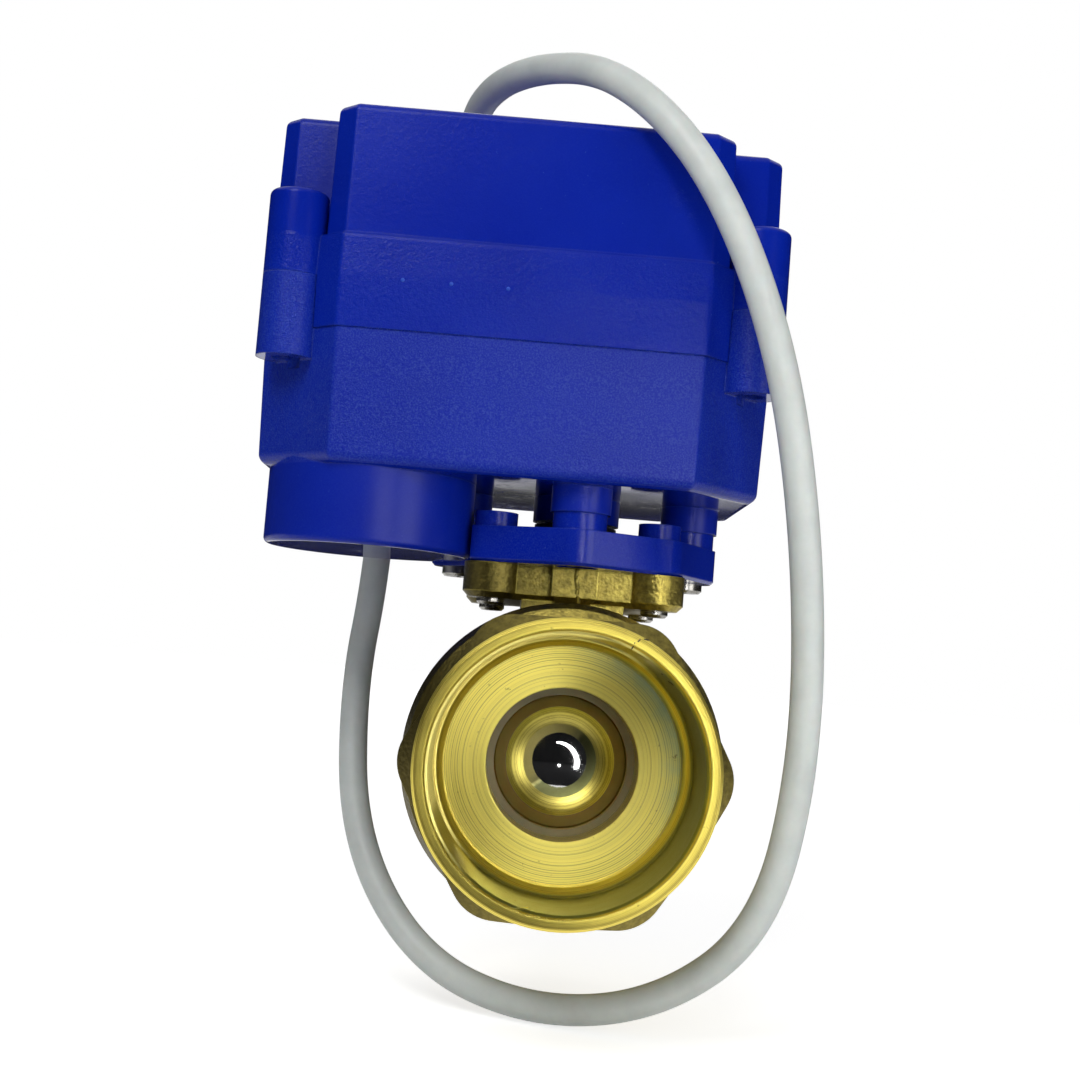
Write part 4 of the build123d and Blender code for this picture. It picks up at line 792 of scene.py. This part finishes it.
studio = {
    "floorDrop": 0.3,            # mm below the lowest point
    "floorHalf": 6.0,            # m
    "floorColour": (0.86, 0.86, 0.86),
    "floorDeep": (0.84, 0.84, 0.84),
    "floorGlow": (0.68, 1.0),    # near the object and far from it
    "glowReach": (0.2, 1.3),     # m from the object, for these two
    "worldStrength": 0.21,
    "lamps": [
        # name, place in mm, size in mm, power in W, place that it is aimed at
        ("keyLamp", (-150, -350, 320), 240, 0.90, (0, 0, 40)),
        ("fillLamp", (280, -300, 30), 200, 0.38, (0, 0, 10)),
        ("rearLamp", (40, 380, 320), 300, 0.35, (0, 0, 40)),
        ("pointLamp", (2, -238, -26), 8, 0.004, (0, 0, 0)),
    ],
    # half of a ring lamp round the camera, from and to in degrees
    "halfRing": {"centre": (-8, -240, -16), "radius": 90, "width": 20, "turn": (-112, 95),
                 "steps": 40, "strength": 14.0},
    # dark screens round the table, which only reflections show
    "screens": {"radius": 620, "top": 520, "sides": 48, "shade": (0.035, 0.035, 0.037),
                "deep": (0.02, 0.02, 0.021)},
    # and a dark card on the floor, from near in front of the valve out to the screens
    "card": {"near": 75, "half": 320},
}


def stagePiece(name, bm, material):
    data = bpy.data.meshes.new(name)
    bm.to_mesh(data)
    bm.free()
    data.materials.append(material)
    piece = bpy.data.objects.new(name, data)
    bpy.context.scene.collection.objects.link(piece)
    piece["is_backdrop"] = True
    return piece


def makeHalfRing(settings):
    material = bpy.data.materials.new("lampGlass")
    material.use_nodes = True
    tree = material.node_tree
    glow = addNode(tree, "Emission", {"Color": (1, 1, 1, 1), "Strength": settings["strength"]})
    tree.links.new(glow.outputs[0], tree.nodes["Material Output"].inputs["Surface"])
    bm = bmesh.new()
    steps, before = settings["steps"], None
    low, high = settings["turn"]
    for i in range(steps + 1):
        angle = math.radians(low + (high - low) * i / steps)
        # narrower towards its ends
        half = settings["width"] / 2 * math.sin(math.pi * (0.06 + 0.88 * i / steps)) ** 0.7
        edge = []
        for reach in (settings["radius"] - half, settings["radius"] + half):
            offset = Vector((reach * math.cos(angle), 0, reach * math.sin(angle)))
            edge.append(bm.verts.new((Vector(settings["centre"]) + offset) * mm))
        if before:
            bm.faces.new((before[0], before[1], edge[1], edge[0]))
        before = edge
    ring = stagePiece("halfRingLamp", bm, material)
    ring.visible_camera = False


def makeScreens(settings, card, low):
    material, tree, shader, place = startMaterial("screenCloth")
    weave = noiseOf(tree, place, 4.0, 3.0)
    tree.links.new(mixColours(tree, weave, settings["deep"], settings["shade"]), shader.inputs["Base Color"])
    setShader(shader, rough=0.95, specular=0.0)
    bm = bmesh.new()
    reach, sides = settings["radius"] * mm, settings["sides"]
    bottom, top = ([bm.verts.new((reach * math.cos(2 * math.pi * i / sides),
                                  reach * math.sin(2 * math.pi * i / sides), z)) for i in range(sides)]
                   for z in (low, settings["top"] * mm))
    for i in range(sides):
        j = (i + 1) % sides
        bm.faces.new((bottom[i], bottom[j], top[j], top[i]))
    near, half = card["near"] * mm, card["half"] * mm
    corners = ((-half, -near), (half, -near), (half, -reach), (-half, -reach))
    bm.faces.new([bm.verts.new((u, v, low)) for u, v in corners])
    screens = stagePiece("darkScreens", bm, material)
    screens.visible_camera = screens.visible_diffuse = screens.visible_shadow = False
    screens.visible_transmission = False


def makeStudio(settings):
    floorMaterial, tree, shader, place = startMaterial("floorPaper")
    grain = noiseOf(tree, place, 3.0, 3.0)
    tree.links.new(mixColours(tree, grain, settings["floorDeep"], settings["floorColour"]),
                   shader.inputs["Base Color"])
    setShader(shader, rough=0.9, specular=0.0)
    path = addNode(tree, "LightPath")
    seen = calc(tree, "MAXIMUM", path.outputs["Is Camera Ray"], path.outputs["Is Glossy Ray"])
    seen = calc(tree, "MAXIMUM", seen, path.outputs["Is Transmission Ray"])
    away = addNode(tree, "VectorMath", {0: place}, operation="LENGTH").outputs["Value"]
    level = rangeOf(tree, away, *settings["glowReach"], *settings["floorGlow"])
    glow = addNode(tree, "Emission", {"Color": (1, 1, 1, 1), "Strength": calc(tree, "MULTIPLY", seen, level)})
    both = addNode(tree, "AddShader", {0: shader.outputs[0], 1: glow.outputs[0]})
    tree.links.new(both.outputs[0], tree.nodes["Material Output"].inputs["Surface"])
    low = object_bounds()[0]
    bm = bmesh.new()
    bmesh.ops.create_grid(bm, x_segments=1, y_segments=1, size=settings["floorHalf"])
    data = bpy.data.meshes.new("studioFloor")
    bm.to_mesh(data)
    bm.free()
    data.materials.append(floorMaterial)
    floor = bpy.data.objects.new("studioFloor", data)
    floor.location = (0, 0, low.z - settings["floorDrop"] * mm)
    bpy.context.scene.collection.objects.link(floor)
    floor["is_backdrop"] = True

    world = bpy.data.worlds.new("studioWorld")
    bpy.context.scene.world = world
    world.use_nodes = True
    tree = world.node_tree
    background = tree.nodes["Background"]
    path = addNode(tree, "LightPath")
    seen = calc(tree, "MAXIMUM", path.outputs["Is Camera Ray"], path.outputs["Is Glossy Ray"])
    seen = calc(tree, "MAXIMUM", seen, path.outputs["Is Transmission Ray"])
    background.inputs["Color"].default_value = (1, 1, 1, 1)
    tree.links.new(rangeOf(tree, seen, 0.0, 1.0, settings["worldStrength"], 1.0),
                   background.inputs["Strength"])

    makeHalfRing(settings["halfRing"])
    makeScreens(settings["screens"], settings["card"], low.z)
    for name, place, size, power, aim in settings["lamps"]:
        data = bpy.data.lights.new(name, "AREA")
        data.shape = "DISK"
        data.size = size * mm
        data.energy = power
        lamp = bpy.data.objects.new(name, data)
        lamp.location = Vector(place) * mm
        lamp.rotation_euler = (Vector(aim) - Vector(place)).to_track_quat("-Z", "Y").to_euler()
        bpy.context.scene.collection.objects.link(lamp)


makeStudio(studio)
bpy.context.scene.view_settings.view_transform = "Standard"
print("studio ready")
